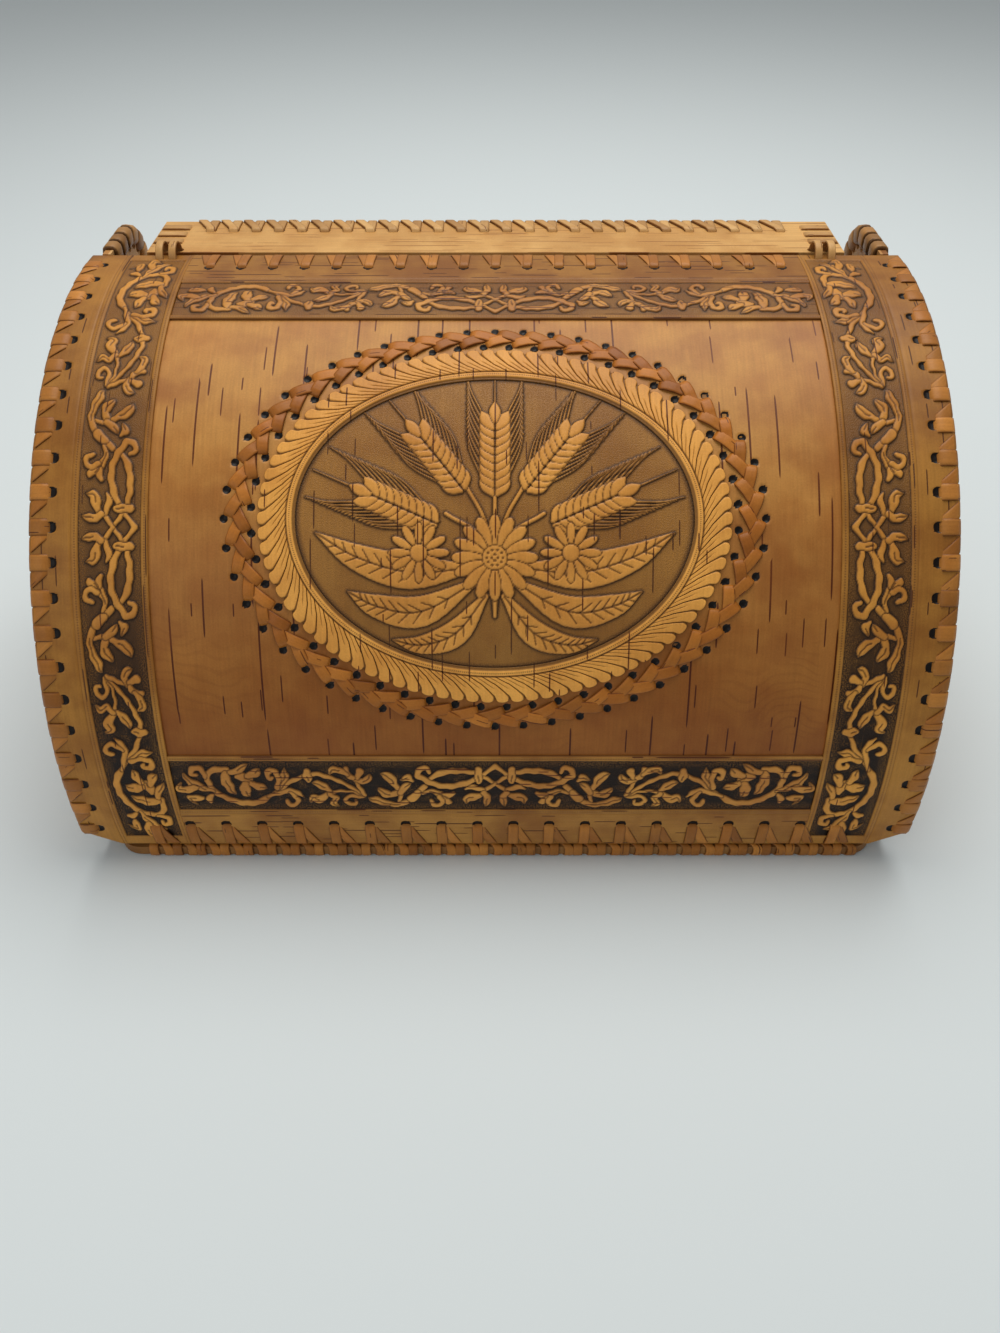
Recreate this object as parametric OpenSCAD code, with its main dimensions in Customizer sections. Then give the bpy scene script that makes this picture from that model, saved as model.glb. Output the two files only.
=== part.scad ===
// Birch bark bread box: a laced bark body under a hood-shaped lid that tips up and back.
// X runs to the right, Y to the back and Z up. The origin is at the bottom centre.
// Lengths are in millimetres and angles in degrees. An elevation is measured at the
// hood's centre line, from straight ahead (0) to straight up (90).

/* [Box] */
// Room between each end panel and the cheek beside it
end_gap = 16.2; // [14.2:0.1:26]
// Thickness of the end and back panels
panel_t = 3; // [2:0.2:4]
// Thickness of the bark that lines the end and back panels
lining_t = 0.8; // [0.6:0.1:1.2]
// Distance from the box's back to the outer face of the back panel
back_inset = 7; // [5:0.5:12]
// Gap between the lid's lining and the curved rims of the end panels
end_clear = 9.2; // [6:0.1:16]

/* [Base] */
// How far the base stands out beyond each end panel
plinth_margin = 12.5; // [11:0.5:13]
// Radius of the base's corners
plinth_round = 12; // [6:1:20]
// Thickness of each of the two base sheets
base_sheet_t = 2.5; // [2:0.1:2.5]
// Thickness of the bark that lines the base
base_lining_t = 0.8; // [0.6:0.1:1.2]
// Distance from the base's edge in to the edge of the sheet it stands on
sole_inset = 18; // [17:1:30]

/* [Top strip] */
// Depth of the top strip, from its free front edge to the back panel's outer face
strip_depth = 41.2; // [38:0.1:50]
// Thickness of the top strip
strip_t = 2.4; // [2:0.1:2.8]
// Thickness of the bark that lines the top strip
strip_lining_t = 1.2; // [0.8:0.1:1.4]
// How far the strip's upper face lies below the lid's upper edge
strip_drop = 0.2; // [0:0.1:0.5]

/* [Lid] */
// Width of the curved lid sheet
lid_w = 378; // [372:1:400]
// Radius of the outer face of the lid's smooth sheet
hood_r = 178; // [176:1:184]
// Height of the hood's centre line above the table
hood_rise = 32; // [26:0.5:38]
// Gap between the lacing on the lid's lower edge and the lacing on the base
lid_gap = 0.6; // [0.4:0.1:1.2]
// Elevation of the lid's upper edge
lid_high_deg = 93; // [92.5:0.25:93.5]
// Thickness of the lid's smooth outer sheet
face_t = 1; // [0.8:0.1:1.4]
// Thickness of the lid's core sheet
core_t = 2; // [1.6:0.1:2.4]
// Thickness of the lid's lining
lid_lining_t = 0.8; // [0.6:0.1:1]
// Width of the cut across each lower corner of the lid
corner_cut_w = 16; // [10:1:20]
// Height of the cut across each lower corner of the lid
corner_cut_h = 10; // [6:1:10]

/* [Cheeks] */
// How far the lid sheet stands out beyond each cheek
cheek_overhang = 4; // [3:0.5:5]
// Thickness of a cheek
cheek_t = 2.6; // [2:0.1:3.2]
// Thickness of a cheek's lining
cheek_lining_t = 1.2; // [0.8:0.1:1.4]
// Height of the cheeks' lower edge above the table
cheek_low = 10; // [10:0.5:14]
// Radius of the cheek's upper back corner
cheek_top_round = 20; // [14:1:24]
// Radius of the cheek's lower back corner
cheek_low_round = 14; // [10:1:24]

/* [Ornament] */
// Thickness of the embossed bark on the lid's smooth sheet
relief_t = 1.2; // [0.9:0.1:1.4]
// Thickness of embossed bark where its ground is pressed down
ground_t = 0.5; // [0.3:0.1:0.7]
// Width of the border lines beside the pressed ground
line_w = 2.6; // [1.6:0.2:3.2]
// Plain margin between the lid's side edge and the border line of an upright band
side_margin = 16.6; // [16:0.2:20]
// Width of an upright band over its border lines
side_band_w = 31; // [26:1:34]
// Plain margin between the lid's upper edge and the border line of the upper band
top_margin = 27; // [26:1:30]
// Width of the upper band over its border lines
top_band_w = 30; // [26:1:32]
// Plain margin between the lid's lower edge and the border line of the lower band
low_margin = 23; // [22:1:26]
// Width of the lower band over its border lines
low_band_w = 34; // [30:1:36]
// Distance from the lid's upper edge to the ground of the upright bands
side_band_top = 20; // [20:0.5:23]
// Distance from the lid's lower edge to the ground of the upright bands
side_band_low = 20; // [20:0.5:22]

/* [Medallion] */
// Half the width of the embossed oval
oval_w = 97; // [88:1:100]
// Gap between the braid round the oval and the upper band
oval_top_gap = 3.3; // [2:0.1:12]
// Gap between the braid round the oval and the lower band
oval_low_gap = 10.8; // [2:0.1:14]
// Width of the tongue border round the oval's picture
tongue_w = 15.5; // [12:0.5:18]
// Width of the braid round the oval
braid_w = 15; // [12:0.5:16]
// Gap between the oval and its braid
braid_gap = 0.6; // [0.4:0.1:1]

/* [Lacing] */
// Width of a lacing strip
lace_w = 4.4; // [3.4:0.2:4.4]
// Thickness of a lacing strip
lace_t = 0.9; // [0.6:0.1:0.9]
// Diameter of a lacing hole
hole_d = 5; // [5:0.1:5.2]
// Play between a strip and a flat sheet
lace_slack = 0.1; // [0.05:0.05:0.1]
// Play between a strip and the curved sheet that it bends round
curve_slack = 0.35; // [0.35:0.05:0.4]
// Distance of the holes from an edge where two panels meet
corner_reach = 12; // [11.5:0.5:13]
// Distance of the base's lacing holes from its edge
base_reach = 5.2; // [4.8:0.1:5.4]
// Spacing of the base's lacing
base_pitch = 11; // [11:0.5:15]
// Height of the end panels' lower holes above the base
foot_reach = 7; // [6:0.5:10]
// Spacing of the lacing between the end panels and the base
foot_pitch = 18; // [16:1:24]
// Spacing of the lacing along the top strip's back edge
back_pitch = 11.2; // [11:0.1:14]
// Spacing of the lacing down the back corners
corner_pitch = 13; // [12:0.5:16]
// Number of wraps that hold each end of the top strip
strip_wraps = 3; // [2:1:3]
// Spacing of the wraps at the ends of the top strip
strip_pitch = 9; // [8:0.5:9]
// Distance of the holes from an end panel's curved rim
rim_reach = 7; // [6:0.5:9]
// Spacing of the lacing round an end panel's curved rim
rim_pitch = 14; // [12:0.5:18]
// Number of lacing holes down each side of the lid
side_count = 21; // [17:1:21]
// Distance of the first and last side holes from the lid's ends
side_end = 12.5; // [12.5:0.5:16]
// Distance of a cheek's upper holes from its curved edge
cheek_reach = 9.5; // [7:0.5:10]
// Distance of the holes from a cheek's free edge
cheek_rim_reach = 7; // [6:0.5:8]
// Spacing of the lacing round a cheek's free edge
cheek_rim_pitch = 9.6; // [9:0.2:12]
// Distance from the last forked wrap to the hinge ties
top_end = 15; // [12:0.5:24]
// Spacing of the forked wraps
top_pitch = 14.6; // [14.6:0.1:15]
// Distance of the forked wraps' holes from the lid's upper edge
top_reach = 15; // [13:0.5:15]
// How far each arm of a forked wrap swings aside between its hole and the edge
fork = 4.6; // [3.5:0.1:4.8]
// Distance from the lid's side edge to the wraps along its lower edge
low_end = 30; // [26.5:0.5:40]
// Spacing of the wraps along the lid's lower edge
low_pitch = 16.3; // [15.5:0.1:16.5]
// Distance of the lower wraps' holes from the lid's lower edge
low_reach = 15.5; // [12:0.5:15.5]
// How far a slanting strip climbs from its hole to the edge
slant = 7; // [5:0.5:7]

/* [Hinge] */
// Distance from the lid's upper edge back to the hinge line
hinge_front = 1.2; // [1.2:0.1:1.6]
// Distance from the hinge line back to the top strip
hinge_back = 2.8; // [2.8:0.1:3.2]
// How far the hinge line lies below the top strip's upper face
hinge_sink = 0.6; // [0.5:0.1:0.8]
// Inner radius of a hinge tie
tie_r = 5.95; // [5.8:0.05:6.2]
// Width of a hinge tie
tie_w = 3.6; // [3:0.1:3.6]
// Diameter of the holes that the hinge ties turn in
tie_hole_d = 5; // [5:0.1:5.2]
// How far the holes lie inside the middle of the tie
tie_bow = 0.45; // [0.3:0.05:0.6]
// Distance from each end of the body to the inner tie of the pair there
tie_inset = 14.5; // [14:0.5:15]
// Spacing of the two ties of a pair
tie_pitch = 6; // [5.8:0.1:6.2]

/* [Hidden] */

// Drills and cutters run this far past the sheets they cut
cut = 1;
// Facets of a large arc and of a small hole
$fn = 24;
arc_fn = 240;
oval_points = 72;

// Lid radii, from the outside in
frame_r = hood_r + relief_t;
face_in_r = hood_r - face_t;
core_in_r = face_in_r - core_t;
lid_in_r = core_in_r - lid_lining_t;
lid_thick = frame_r - lid_in_r;
mm_deg = 180 / (PI * frame_r);

// The lid's lower edge clears the base, and both edges carry lacing
base_z = lace_t + lace_slack;
base_t = 2 * base_sheet_t;
base_top = base_z + base_t;
lid_low_z = base_top + 2 * (lace_t + lace_slack) + lid_gap;
lid_low_deg = -asin((hood_rise - lid_low_z) / frame_r);
lid_arc = (lid_high_deg - lid_low_deg) / mm_deg;

// The oval and its braid fill the field between the bands
field_low = low_margin + low_band_w + oval_low_gap;
field_high = lid_arc - top_margin - top_band_w - oval_top_gap;
oval_h = (field_high - field_low) / 2 - braid_w - braid_gap;
oval_deg = lid_low_deg + (field_low + field_high) / 2 * mm_deg;

// Depth over all, from the lacing on the lid's front to the lacing on its cheeks' back
box_depth = frame_r + curve_slack + lace_t - frame_r * cos(lid_high_deg) + hinge_front
    + hinge_back + strip_depth + back_inset;

// Centre line of the hood, and the lid's edges
hood_y = frame_r + curve_slack + lace_t - box_depth / 2;
hood_z = hood_rise;
lid_top_y = hood_y - frame_r * cos(lid_high_deg);
lid_top_z = hood_z + frame_r * sin(lid_high_deg);
lid_low_y = hood_y - frame_r * cos(lid_low_deg);

// Hinge line and top strip
strip_top = lid_top_z - strip_drop;
strip_under = strip_top - strip_t - strip_lining_t;
hinge_y = lid_top_y + hinge_front;
hinge_z = strip_top - hinge_sink;
strip_front = hinge_y + hinge_back;

// Body: half width, back faces, inner faces
body_x = lid_w / 2 - cheek_overhang - cheek_t - cheek_lining_t - end_gap;
wall_t = panel_t + lining_t;
wall_in_x = body_x - wall_t;
back_y = box_depth / 2 - back_inset;
panel_in_y = back_y - panel_t;
wall_in_y = back_y - wall_t;
end_r = lid_in_r - end_clear;

// Base
plinth_x = body_x + plinth_margin;
plinth_front = lid_low_y;
plinth_mid_y = (plinth_front + back_y) / 2;
plinth_d = back_y - plinth_front;

// Cheeks: outer and inner faces, upper edge, back edge
lid_x = lid_w / 2;
cheek_x = lid_x - cheek_overhang;
cheek_wall = cheek_t + cheek_lining_t;
cheek_in_x = cheek_x - cheek_wall;
cheek_top = lid_top_z;
cheek_back = box_depth / 2 - lace_t - lace_slack;
cheek_front = hood_y - sqrt(pow(lid_in_r, 2) - pow(hood_z - cheek_low, 2));
cheek_step_y = lid_top_y + hinge_front;
side_hole_x = cheek_in_x - lace_slack - lace_t / 2;
cheek_hole_r = lid_in_r - cheek_reach;

// Path round a cheek's free edge: top, corner, back, corner, bottom
rim_start = cheek_step_y + lace_w;
rim_top_len = cheek_back - cheek_top_round - rim_start;
rim_arc1_len = PI / 2 * cheek_top_round;
rim_back_len = cheek_top - cheek_top_round - cheek_low - cheek_low_round;
rim_arc2_len = PI / 2 * cheek_low_round;
rim_low_len = cheek_back - cheek_low_round - cheek_front - cheek_reach - 2 * lace_w;
rim_s1 = rim_top_len;
rim_s2 = rim_s1 + rim_arc1_len;
rim_s3 = rim_s2 + rim_back_len;
rim_s4 = rim_s3 + rim_arc2_len;
rim_len = rim_s4 + rim_low_len;
rim_count = floor(rim_len / cheek_rim_pitch) + 1;

// Point of the cheek's free edge at distance s, with the elevation of its outward normal
function rim_at(s) =
    s < rim_s1 ? [rim_start + s, cheek_top, 90] :
    s < rim_s2 ? let (a = 90 - (s - rim_s1) / cheek_top_round * 180 / PI)
        [cheek_back - cheek_top_round * (1 - cos(a)),
         cheek_top - cheek_top_round * (1 - sin(a)), a] :
    s < rim_s3 ? [cheek_back, cheek_top - cheek_top_round - (s - rim_s2), 0] :
    s < rim_s4 ? let (a = -(s - rim_s3) / cheek_low_round * 180 / PI)
        [cheek_back - cheek_low_round * (1 - cos(a)),
         cheek_low + cheek_low_round * (1 + sin(a)), a] :
    [cheek_back - cheek_low_round - (s - rim_s4), cheek_low, -90];

// Colours of the barks, as they look on the box
face_color = [0.64, 0.42, 0.26];
margin_color = [0.55, 0.41, 0.28];
pale_color = [0.88, 0.70, 0.46];
inner_color = [0.80, 0.60, 0.40];
gilt_color = [0.68, 0.50, 0.28];
lace_color = [0.72, 0.52, 0.33];
dark_color = [0.42, 0.29, 0.19];

// ---- Placing ----

// Draws a side view (Y across, Z up) as a plate between two X positions
module side_plate(x0, x1) {
    translate([x0, 0, 0]) rotate([90, 0, 90]) linear_extrude(height = x1 - x0) children();
}

// Places children on the hood: X across, local Y up along the curve, local Z outwards
module on_hood(deg, x = 0) {
    translate([x, hood_y, hood_z]) rotate([90 - deg, 0, 0]) children();
}

module left_side() {
    mirror([1, 0, 0]) children();
}

// Centred row of count children along Y
module row(count, pitch) {
    for (i = [0:count - 1]) translate([0, (i - (count - 1) / 2) * pitch, 0]) children();
}

// Centred row of count children along X
module row_x(count, pitch) {
    for (i = [0:count - 1]) translate([(i - (count - 1) / 2) * pitch, 0, 0]) children();
}

// Round hole down through a sheet that lies between z = 0 and z = t
module drill(t, d = hole_d) {
    translate([0, 0, -cut]) cylinder(d = d, h = t + 2 * cut);
}

// ---- Lacing strips ----

// Loop round the edge of a sheet: the edge at x = 0, the sheet from z = 0 to t towards -x
module edge_loop(reach, t, slack, w = lace_w) {
    rotate([90, 0, 0]) translate([0, 0, -w / 2]) linear_extrude(height = w)
        difference() {
            translate([-reach - lace_t / 2, -slack - lace_t])
                square([reach + slack + 1.5 * lace_t, t + 2 * (slack + lace_t)]);
            translate([-reach + lace_t / 2, -slack])
                square([reach + slack - lace_t / 2, t + 2 * slack]);
        }
}

// Loop that slants aside by dx between its hole, at the origin, and an edge at y = reach,
// round a sheet from z = 0 to t
module slant_loop(reach, dx, t, slack) {
    end = reach + lace_slack;
    low = -slack - lace_t;
    len = sqrt(pow(dx, 2) + pow(end, 2));
    for (z = [low, t + slack]) intersection() {
        translate([0, 0, z]) rotate([0, 0, -atan2(dx, end)])
            translate([-lace_w / 2, 0, 0]) cube([lace_w, len + lace_w, lace_t]);
        translate([-end, -lace_t, low]) cube([2 * end, end + 2 * lace_t, t - 2 * low]);
    }
    translate([-lace_w / 2, -lace_t / 2, low]) cube([lace_w, lace_t, t - 2 * low]);
    translate([dx - lace_w / 2, end, low]) cube([lace_w, lace_t, t - 2 * low]);
}

// Flat outline of a loop round two walls that meet at a right angle. The outer corner is
// the origin, wall a runs towards -x and wall b towards -y.
module corner_outline(reach_a, reach_b, wall_a, wall_b) {
    s = lace_slack;
    g = s + lace_t;
    h = lace_t / 2;
    difference() {
        polygon([[g, g], [-reach_a - h, g], [-reach_a - h, -wall_a - g],
            [-wall_b - g, -wall_a - g], [-wall_b - g, -reach_b - h], [g, -reach_b - h]]);
        polygon([[s, s], [-reach_a + h, s], [-reach_a + h, -wall_a - s],
            [-wall_b - s, -wall_a - s], [-wall_b - s, -reach_b + h], [s, -reach_b + h]]);
    }
}

module band_of_lace() {
    translate([0, 0, -lace_w / 2]) linear_extrude(height = lace_w) children();
}

// ---- Base ----

module plinth(t, inset = 0) {
    r = plinth_round;
    hx = plinth_x - inset - r;
    hy = plinth_d / 2 - inset - r;
    translate([0, plinth_mid_y, 0]) linear_extrude(height = t) union() {
        square([2 * (hx + r), 2 * hy], center = true);
        square([2 * hx, 2 * (hy + r)], center = true);
        for (x = [-hx, hx], y = [-hy, hy]) translate([x, y]) circle(r = r);
    }
}

base_side_count = floor((plinth_d - 2 * plinth_round - lace_w) / base_pitch) + 1;
base_front_count = floor((2 * (plinth_x - plinth_round) - lace_w) / base_pitch) + 1;
base_back_count = floor((2 * (body_x - corner_reach) - 2 * lace_w) / base_pitch) + 1;
foot_span = plinth_d - 2 * (corner_reach + plinth_round);
foot_count = floor(foot_span / foot_pitch) + 1;
foot_mid_y = plinth_mid_y;

// Right-hand edge, front edge and back edge of the base's underside
module base_right_places() {
    translate([plinth_x, plinth_mid_y, base_z]) row(base_side_count, base_pitch) children();
}

module base_front_places() {
    translate([0, plinth_front, base_z]) row_x(base_front_count, base_pitch)
        rotate([0, 0, -90]) children();
}

module base_back_places() {
    translate([0, back_y, base_z]) row_x(base_back_count, base_pitch) children();
}

module foot_places() {
    translate([body_x, foot_mid_y, base_z]) row(foot_count, foot_pitch) children();
}

module base_holes() {
    for (side = [0, 1]) mirror([side, 0, 0]) {
        base_right_places() translate([-base_reach, 0, 0]) drill(base_t);
        foot_places()
            translate([-wall_t - base_z - lace_slack, -hole_d / 2, -cut])
                cube([wall_t + 2 * (base_z + lace_slack), hole_d, base_t + 2 * cut]);
    }
    base_front_places() translate([-base_reach, 0, 0]) drill(base_t);
    base_back_places() translate([0, -corner_reach, 0]) drill(base_t);
}

module base_sole() {
    color(margin_color) plinth(base_z, sole_inset);
}

module base_lower_sheet() {
    color(margin_color) difference() {
        translate([0, 0, base_z]) plinth(base_sheet_t);
        base_holes();
    }
}

module base_upper_sheet() {
    color(face_color) difference() {
        translate([0, 0, base_z + base_sheet_t]) plinth(base_sheet_t);
        base_holes();
    }
}

// Lies inside the lacing of the front edge, the walls' feet and the back edge
module base_lining() {
    inset = lace_t + 2 * lace_slack;
    front = plinth_front + base_reach + lace_w;
    back = back_y - corner_reach - lace_w;
    x = wall_in_x - inset;
    color(pale_color) translate([-x, front, base_top])
        cube([2 * x, back - front, base_lining_t]);
}

module base_right_lacing() {
    color(lace_color) base_right_places() edge_loop(base_reach, base_t, lace_slack);
}

module base_left_lacing() {
    left_side() base_right_lacing();
}

module base_front_lacing() {
    color(lace_color) base_front_places() edge_loop(base_reach, base_t, lace_slack);
}

module base_back_lacing() {
    color(lace_color) base_back_places() rotate([90, 0, 90]) mirror([0, 1, 0])
        band_of_lace() corner_outline(corner_reach, base_t + foot_reach, base_t, wall_t);
}

// Upright hoops through the base, on both faces of an end panel and through it
module right_foot_lacing() {
    g = lace_slack + lace_t;
    rise = base_t + foot_reach;
    color(lace_color) foot_places() rotate([90, 0, 0]) band_of_lace() difference() {
        translate([-wall_t - g, -g]) square([wall_t + 2 * g, rise + g + lace_t / 2]);
        translate([-wall_t - lace_slack, -lace_slack])
            square([wall_t + 2 * lace_slack, rise + lace_slack - lace_t / 2]);
    }
}

module left_foot_lacing() {
    left_side() right_foot_lacing();
}

// ---- Walls ----

back_corner_count = floor((strip_under - base_top - 2 * corner_reach - 2 * lace_w)
    / corner_pitch) + 1;
back_corner_mid_z = (strip_under + base_top) / 2;
rim_low_deg = asin((base_top + foot_reach + lace_w - hood_z) / end_r);
rim_high_deg = 90 - asin((strip_front - hood_y) / end_r);
end_rim_len = (rim_high_deg - rim_low_deg) * PI / 180 * end_r - 2 * rim_reach;
end_rim_count = floor(end_rim_len / rim_pitch) + 1;
end_rim_step = rim_pitch / end_r * 180 / PI;
end_rim_mid_deg = (rim_low_deg + rim_high_deg) / 2;

module end_outline() {
    intersection() {
        union() {
            translate([hood_y, hood_z]) circle(r = end_r, $fn = arc_fn);
            translate([strip_front, 0]) square([panel_in_y - strip_front, strip_under]);
        }
        translate([hood_y - hood_r, base_top])
            square([panel_in_y - hood_y + hood_r, strip_under - base_top]);
    }
}

// Frames on the right end panel's curved rim, with local X outwards and Z to the left
module end_rim_places() {
    for (i = [0:end_rim_count - 1])
        on_hood(end_rim_mid_deg + (i - (end_rim_count - 1) / 2) * end_rim_step, body_x)
            translate([0, 0, end_r]) rotate([0, -90, 0]) children();
}

// Frames down the right back corner, on the outer corner line
module back_right_places() {
    for (i = [0:back_corner_count - 1])
        translate([body_x, back_y,
            back_corner_mid_z + (i - (back_corner_count - 1) / 2) * corner_pitch]) children();
}

// Frames along the strip's right end and its back edge, on the outer corner lines
module strip_right_places() {
    translate([body_x, back_y - corner_reach + lace_w / 2
        - (strip_wraps - 1) / 2 * strip_pitch, strip_top])
        row(strip_wraps, strip_pitch) children();
}

strip_back_count = floor(2 * (body_x - corner_reach - lace_w - lace_slack) / back_pitch);

module strip_back_places() {
    translate([0, back_y, strip_top]) row_x(strip_back_count, back_pitch) children();
}

module wall_drill(t) {
    translate([-t - cut, 0, 0]) rotate([0, 90, 0]) cylinder(d = hole_d, h = t + 2 * cut);
}

module right_end_holes() {
    end_rim_places() translate([-rim_reach, 0, 0]) drill(wall_t);
    back_right_places() translate([0, -corner_reach, 0]) wall_drill(wall_t);
    strip_right_places() translate([0, 0, -corner_reach]) wall_drill(wall_t);
    foot_places() translate([0, 0, base_t + foot_reach]) wall_drill(wall_t);
}

module right_end_panel() {
    color(face_color) difference() {
        side_plate(body_x - panel_t, body_x) end_outline();
        right_end_holes();
    }
}

module right_end_lining() {
    color(inner_color) difference() {
        side_plate(wall_in_x, body_x - panel_t) end_outline();
        right_end_holes();
    }
}

module left_end_panel() {
    left_side() right_end_panel();
}

module left_end_lining() {
    left_side() right_end_lining();
}

module right_end_rim_lacing() {
    color(lace_color) end_rim_places() edge_loop(rim_reach, wall_t, curve_slack);
}

module left_end_rim_lacing() {
    left_side() right_end_rim_lacing();
}

module back_drill() {
    rotate([90, 0, 0]) translate([0, 0, -cut]) cylinder(d = hole_d, h = wall_t + 2 * cut);
}

module back_holes() {
    for (side = [0, 1]) mirror([side, 0, 0])
        back_right_places() translate([-corner_reach, 0, 0]) back_drill();
    strip_back_places() translate([0, 0, -corner_reach]) back_drill();
    base_back_places() translate([0, 0, base_t + foot_reach]) back_drill();
}

module back_panel() {
    color(face_color) difference() {
        translate([-body_x, panel_in_y, base_top])
            cube([2 * body_x, panel_t, strip_under - base_top]);
        back_holes();
    }
}

module back_lining() {
    color(inner_color) difference() {
        translate([-wall_in_x, wall_in_y, base_top])
            cube([2 * wall_in_x, lining_t, strip_under - base_top]);
        back_holes();
    }
}

module back_right_lacing() {
    color(lace_color) back_right_places() band_of_lace()
        corner_outline(corner_reach, corner_reach, wall_t, wall_t);
}

module back_left_lacing() {
    left_side() back_right_lacing();
}

// ---- Top strip ----

module strip_holes() {
    through = strip_t + strip_lining_t;
    for (side = [0, 1]) mirror([side, 0, 0]) {
        strip_right_places() translate([-corner_reach, 0, -through]) drill(through);
        tie_places() translate([0, tie_hole_off, hinge_z - through]) drill(2 * through, tie_hole_d);
    }
    strip_back_places() translate([0, -corner_reach, -through]) drill(through);
}

module strip_sheet(z, t) {
    difference() {
        translate([-body_x, strip_front, z]) cube([2 * body_x, back_y - strip_front, t]);
        strip_holes();
    }
}

module top_strip() {
    color(pale_color) strip_sheet(strip_top - strip_t, strip_t);
}

module top_strip_lining() {
    color(inner_color) strip_sheet(strip_under, strip_lining_t);
}

module strip_right_lacing() {
    through = strip_t + strip_lining_t;
    color(pale_color) strip_right_places() rotate([90, 0, 0]) band_of_lace()
        corner_outline(corner_reach, corner_reach, through, wall_t);
}

module strip_left_lacing() {
    left_side() strip_right_lacing();
}

module strip_back_lacing() {
    through = strip_t + strip_lining_t;
    color(pale_color) strip_back_places() rotate([90, 0, 90]) band_of_lace()
        corner_outline(corner_reach, corner_reach, through, wall_t);
}

// ---- Hinge ties ----

// A tie is a ring on the hinge line, so its holes in the lid and the strip run round it.
// The ring bows back towards the line inside a sheet, and so do the holes.
tie_hole_off = tie_r + lace_t / 2 - tie_bow;

tie_x = body_x - tie_inset;

module tie_places() {
    for (i = [0, 1]) translate([tie_x + i * tie_pitch, hinge_y, 0]) children();
}

module right_hinge_ties() {
    color(lace_color) tie_places() translate([0, 0, hinge_z]) rotate([0, 90, 0])
        difference() {
            cylinder(r = tie_r + lace_t, h = tie_w, center = true, $fn = 48);
            cylinder(r = tie_r, h = tie_w + 2 * cut, center = true, $fn = 48);
        }
}

module left_hinge_ties() {
    left_side() right_hinge_ties();
}

// ---- Lid sheets ----

// Side view of a curved sheet between two radii and two elevations
module arc_outline(r_out, r_in, low, high) {
    steps = 6;
    reach = 2 * r_out;
    translate([hood_y, hood_z]) intersection() {
        difference() {
            circle(r = r_out, $fn = arc_fn);
            circle(r = r_in, $fn = arc_fn);
        }
        polygon(concat([[0, 0]], [for (k = [0:steps])
            let (a = low + (high - low) * k / steps) reach * [-cos(a), sin(a)]]));
    }
}

side_pitch = (lid_arc - 2 * side_end) / (side_count - 1);
top_count = floor(2 * (tie_x - top_end) / top_pitch) + 1;
low_count = floor(2 * (lid_x - low_end) / low_pitch) + 1;

// Frames down the lid's right side, at the centre of the hood
module lid_right_places() {
    for (i = [0:side_count - 1])
        on_hood(lid_low_deg + (side_end + i * side_pitch) * mm_deg) children();
}

// Frames on the lining at the holes of the upper and lower edges, with local Y towards
// the edge. Each lies flat on the curve half-way between the holes and the edge.
module lid_upper_places() {
    on_hood(lid_high_deg - top_reach / 2 * mm_deg) translate([0, -top_reach / 2, lid_in_r])
        row_x(top_count, top_pitch) children();
}

module lid_lower_places() {
    on_hood(lid_low_deg + low_reach / 2 * mm_deg) translate([0, low_reach / 2, lid_in_r])
        row_x(low_count, low_pitch) mirror([0, 1, 0]) children();
}

corner_slope = corner_cut_h / corner_cut_w;

module lid_cuts() {
    for (side = [0, 1]) mirror([side, 0, 0]) {
        lid_right_places() translate([side_hole_x, 0, lid_in_r]) drill(lid_thick);
        on_hood(lid_low_deg) translate([lid_x, 0, lid_in_r - cut])
            linear_extrude(height = lid_thick + 2 * cut)
                polygon([[cut, -cut], [-corner_cut_w - cut / corner_slope, -cut],
                    [cut, corner_cut_h + cut * corner_slope]]);
        tie_places() translate([0, -tie_hole_off, hinge_z - lid_thick])
            drill(2 * lid_thick, tie_hole_d);
    }
    lid_upper_places() drill(lid_thick);
    lid_lower_places() drill(lid_thick);
}

module lid_sheet(r_out, r_in) {
    difference() {
        side_plate(-lid_x, lid_x) arc_outline(r_out, r_in, lid_low_deg, lid_high_deg);
        lid_cuts();
    }
}

module lid_face() {
    color(face_color) lid_sheet(hood_r, face_in_r);
}

module lid_core() {
    color(margin_color) lid_sheet(face_in_r, core_in_r);
}

module lid_lining() {
    color(inner_color) lid_sheet(core_in_r, lid_in_r);
}

// ---- Ornament ----

band_in_x = lid_x - side_margin - side_band_w;

// Strip of the frame on the smooth sheet, between two X positions and two elevations.
// Its children are the grounds pressed into it.
module frame_strip(x0, x1, low, high) {
    color(gilt_color) difference() {
        side_plate(x0, x1) arc_outline(frame_r, hood_r, low, high);
        children();
        lid_cuts();
    }
}

module pressed_ground(x0, x1, low, high) {
    side_plate(x0, x1) arc_outline(frame_r + cut, hood_r + ground_t, low, high);
}

module right_band() {
    frame_strip(band_in_x, lid_x, lid_low_deg, lid_high_deg)
        pressed_ground(band_in_x + line_w, lid_x - side_margin - line_w,
            lid_low_deg + side_band_low * mm_deg, lid_high_deg - side_band_top * mm_deg);
}

module left_band() {
    left_side() right_band();
}

// Both bands across the lid lie between the upright bands
module upper_band() {
    top = lid_high_deg - (top_margin + line_w) * mm_deg;
    low = lid_high_deg - (top_margin + top_band_w) * mm_deg;
    frame_strip(-band_in_x, band_in_x, low, lid_high_deg)
        pressed_ground(-band_in_x, band_in_x, low + line_w * mm_deg, top);
}

module lower_band() {
    low = lid_low_deg + (low_margin + line_w) * mm_deg;
    top = lid_low_deg + (low_margin + low_band_w) * mm_deg;
    frame_strip(-band_in_x, band_in_x, lid_low_deg, top)
        pressed_ground(-band_in_x, band_in_x, low, top - line_w * mm_deg);
}

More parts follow.
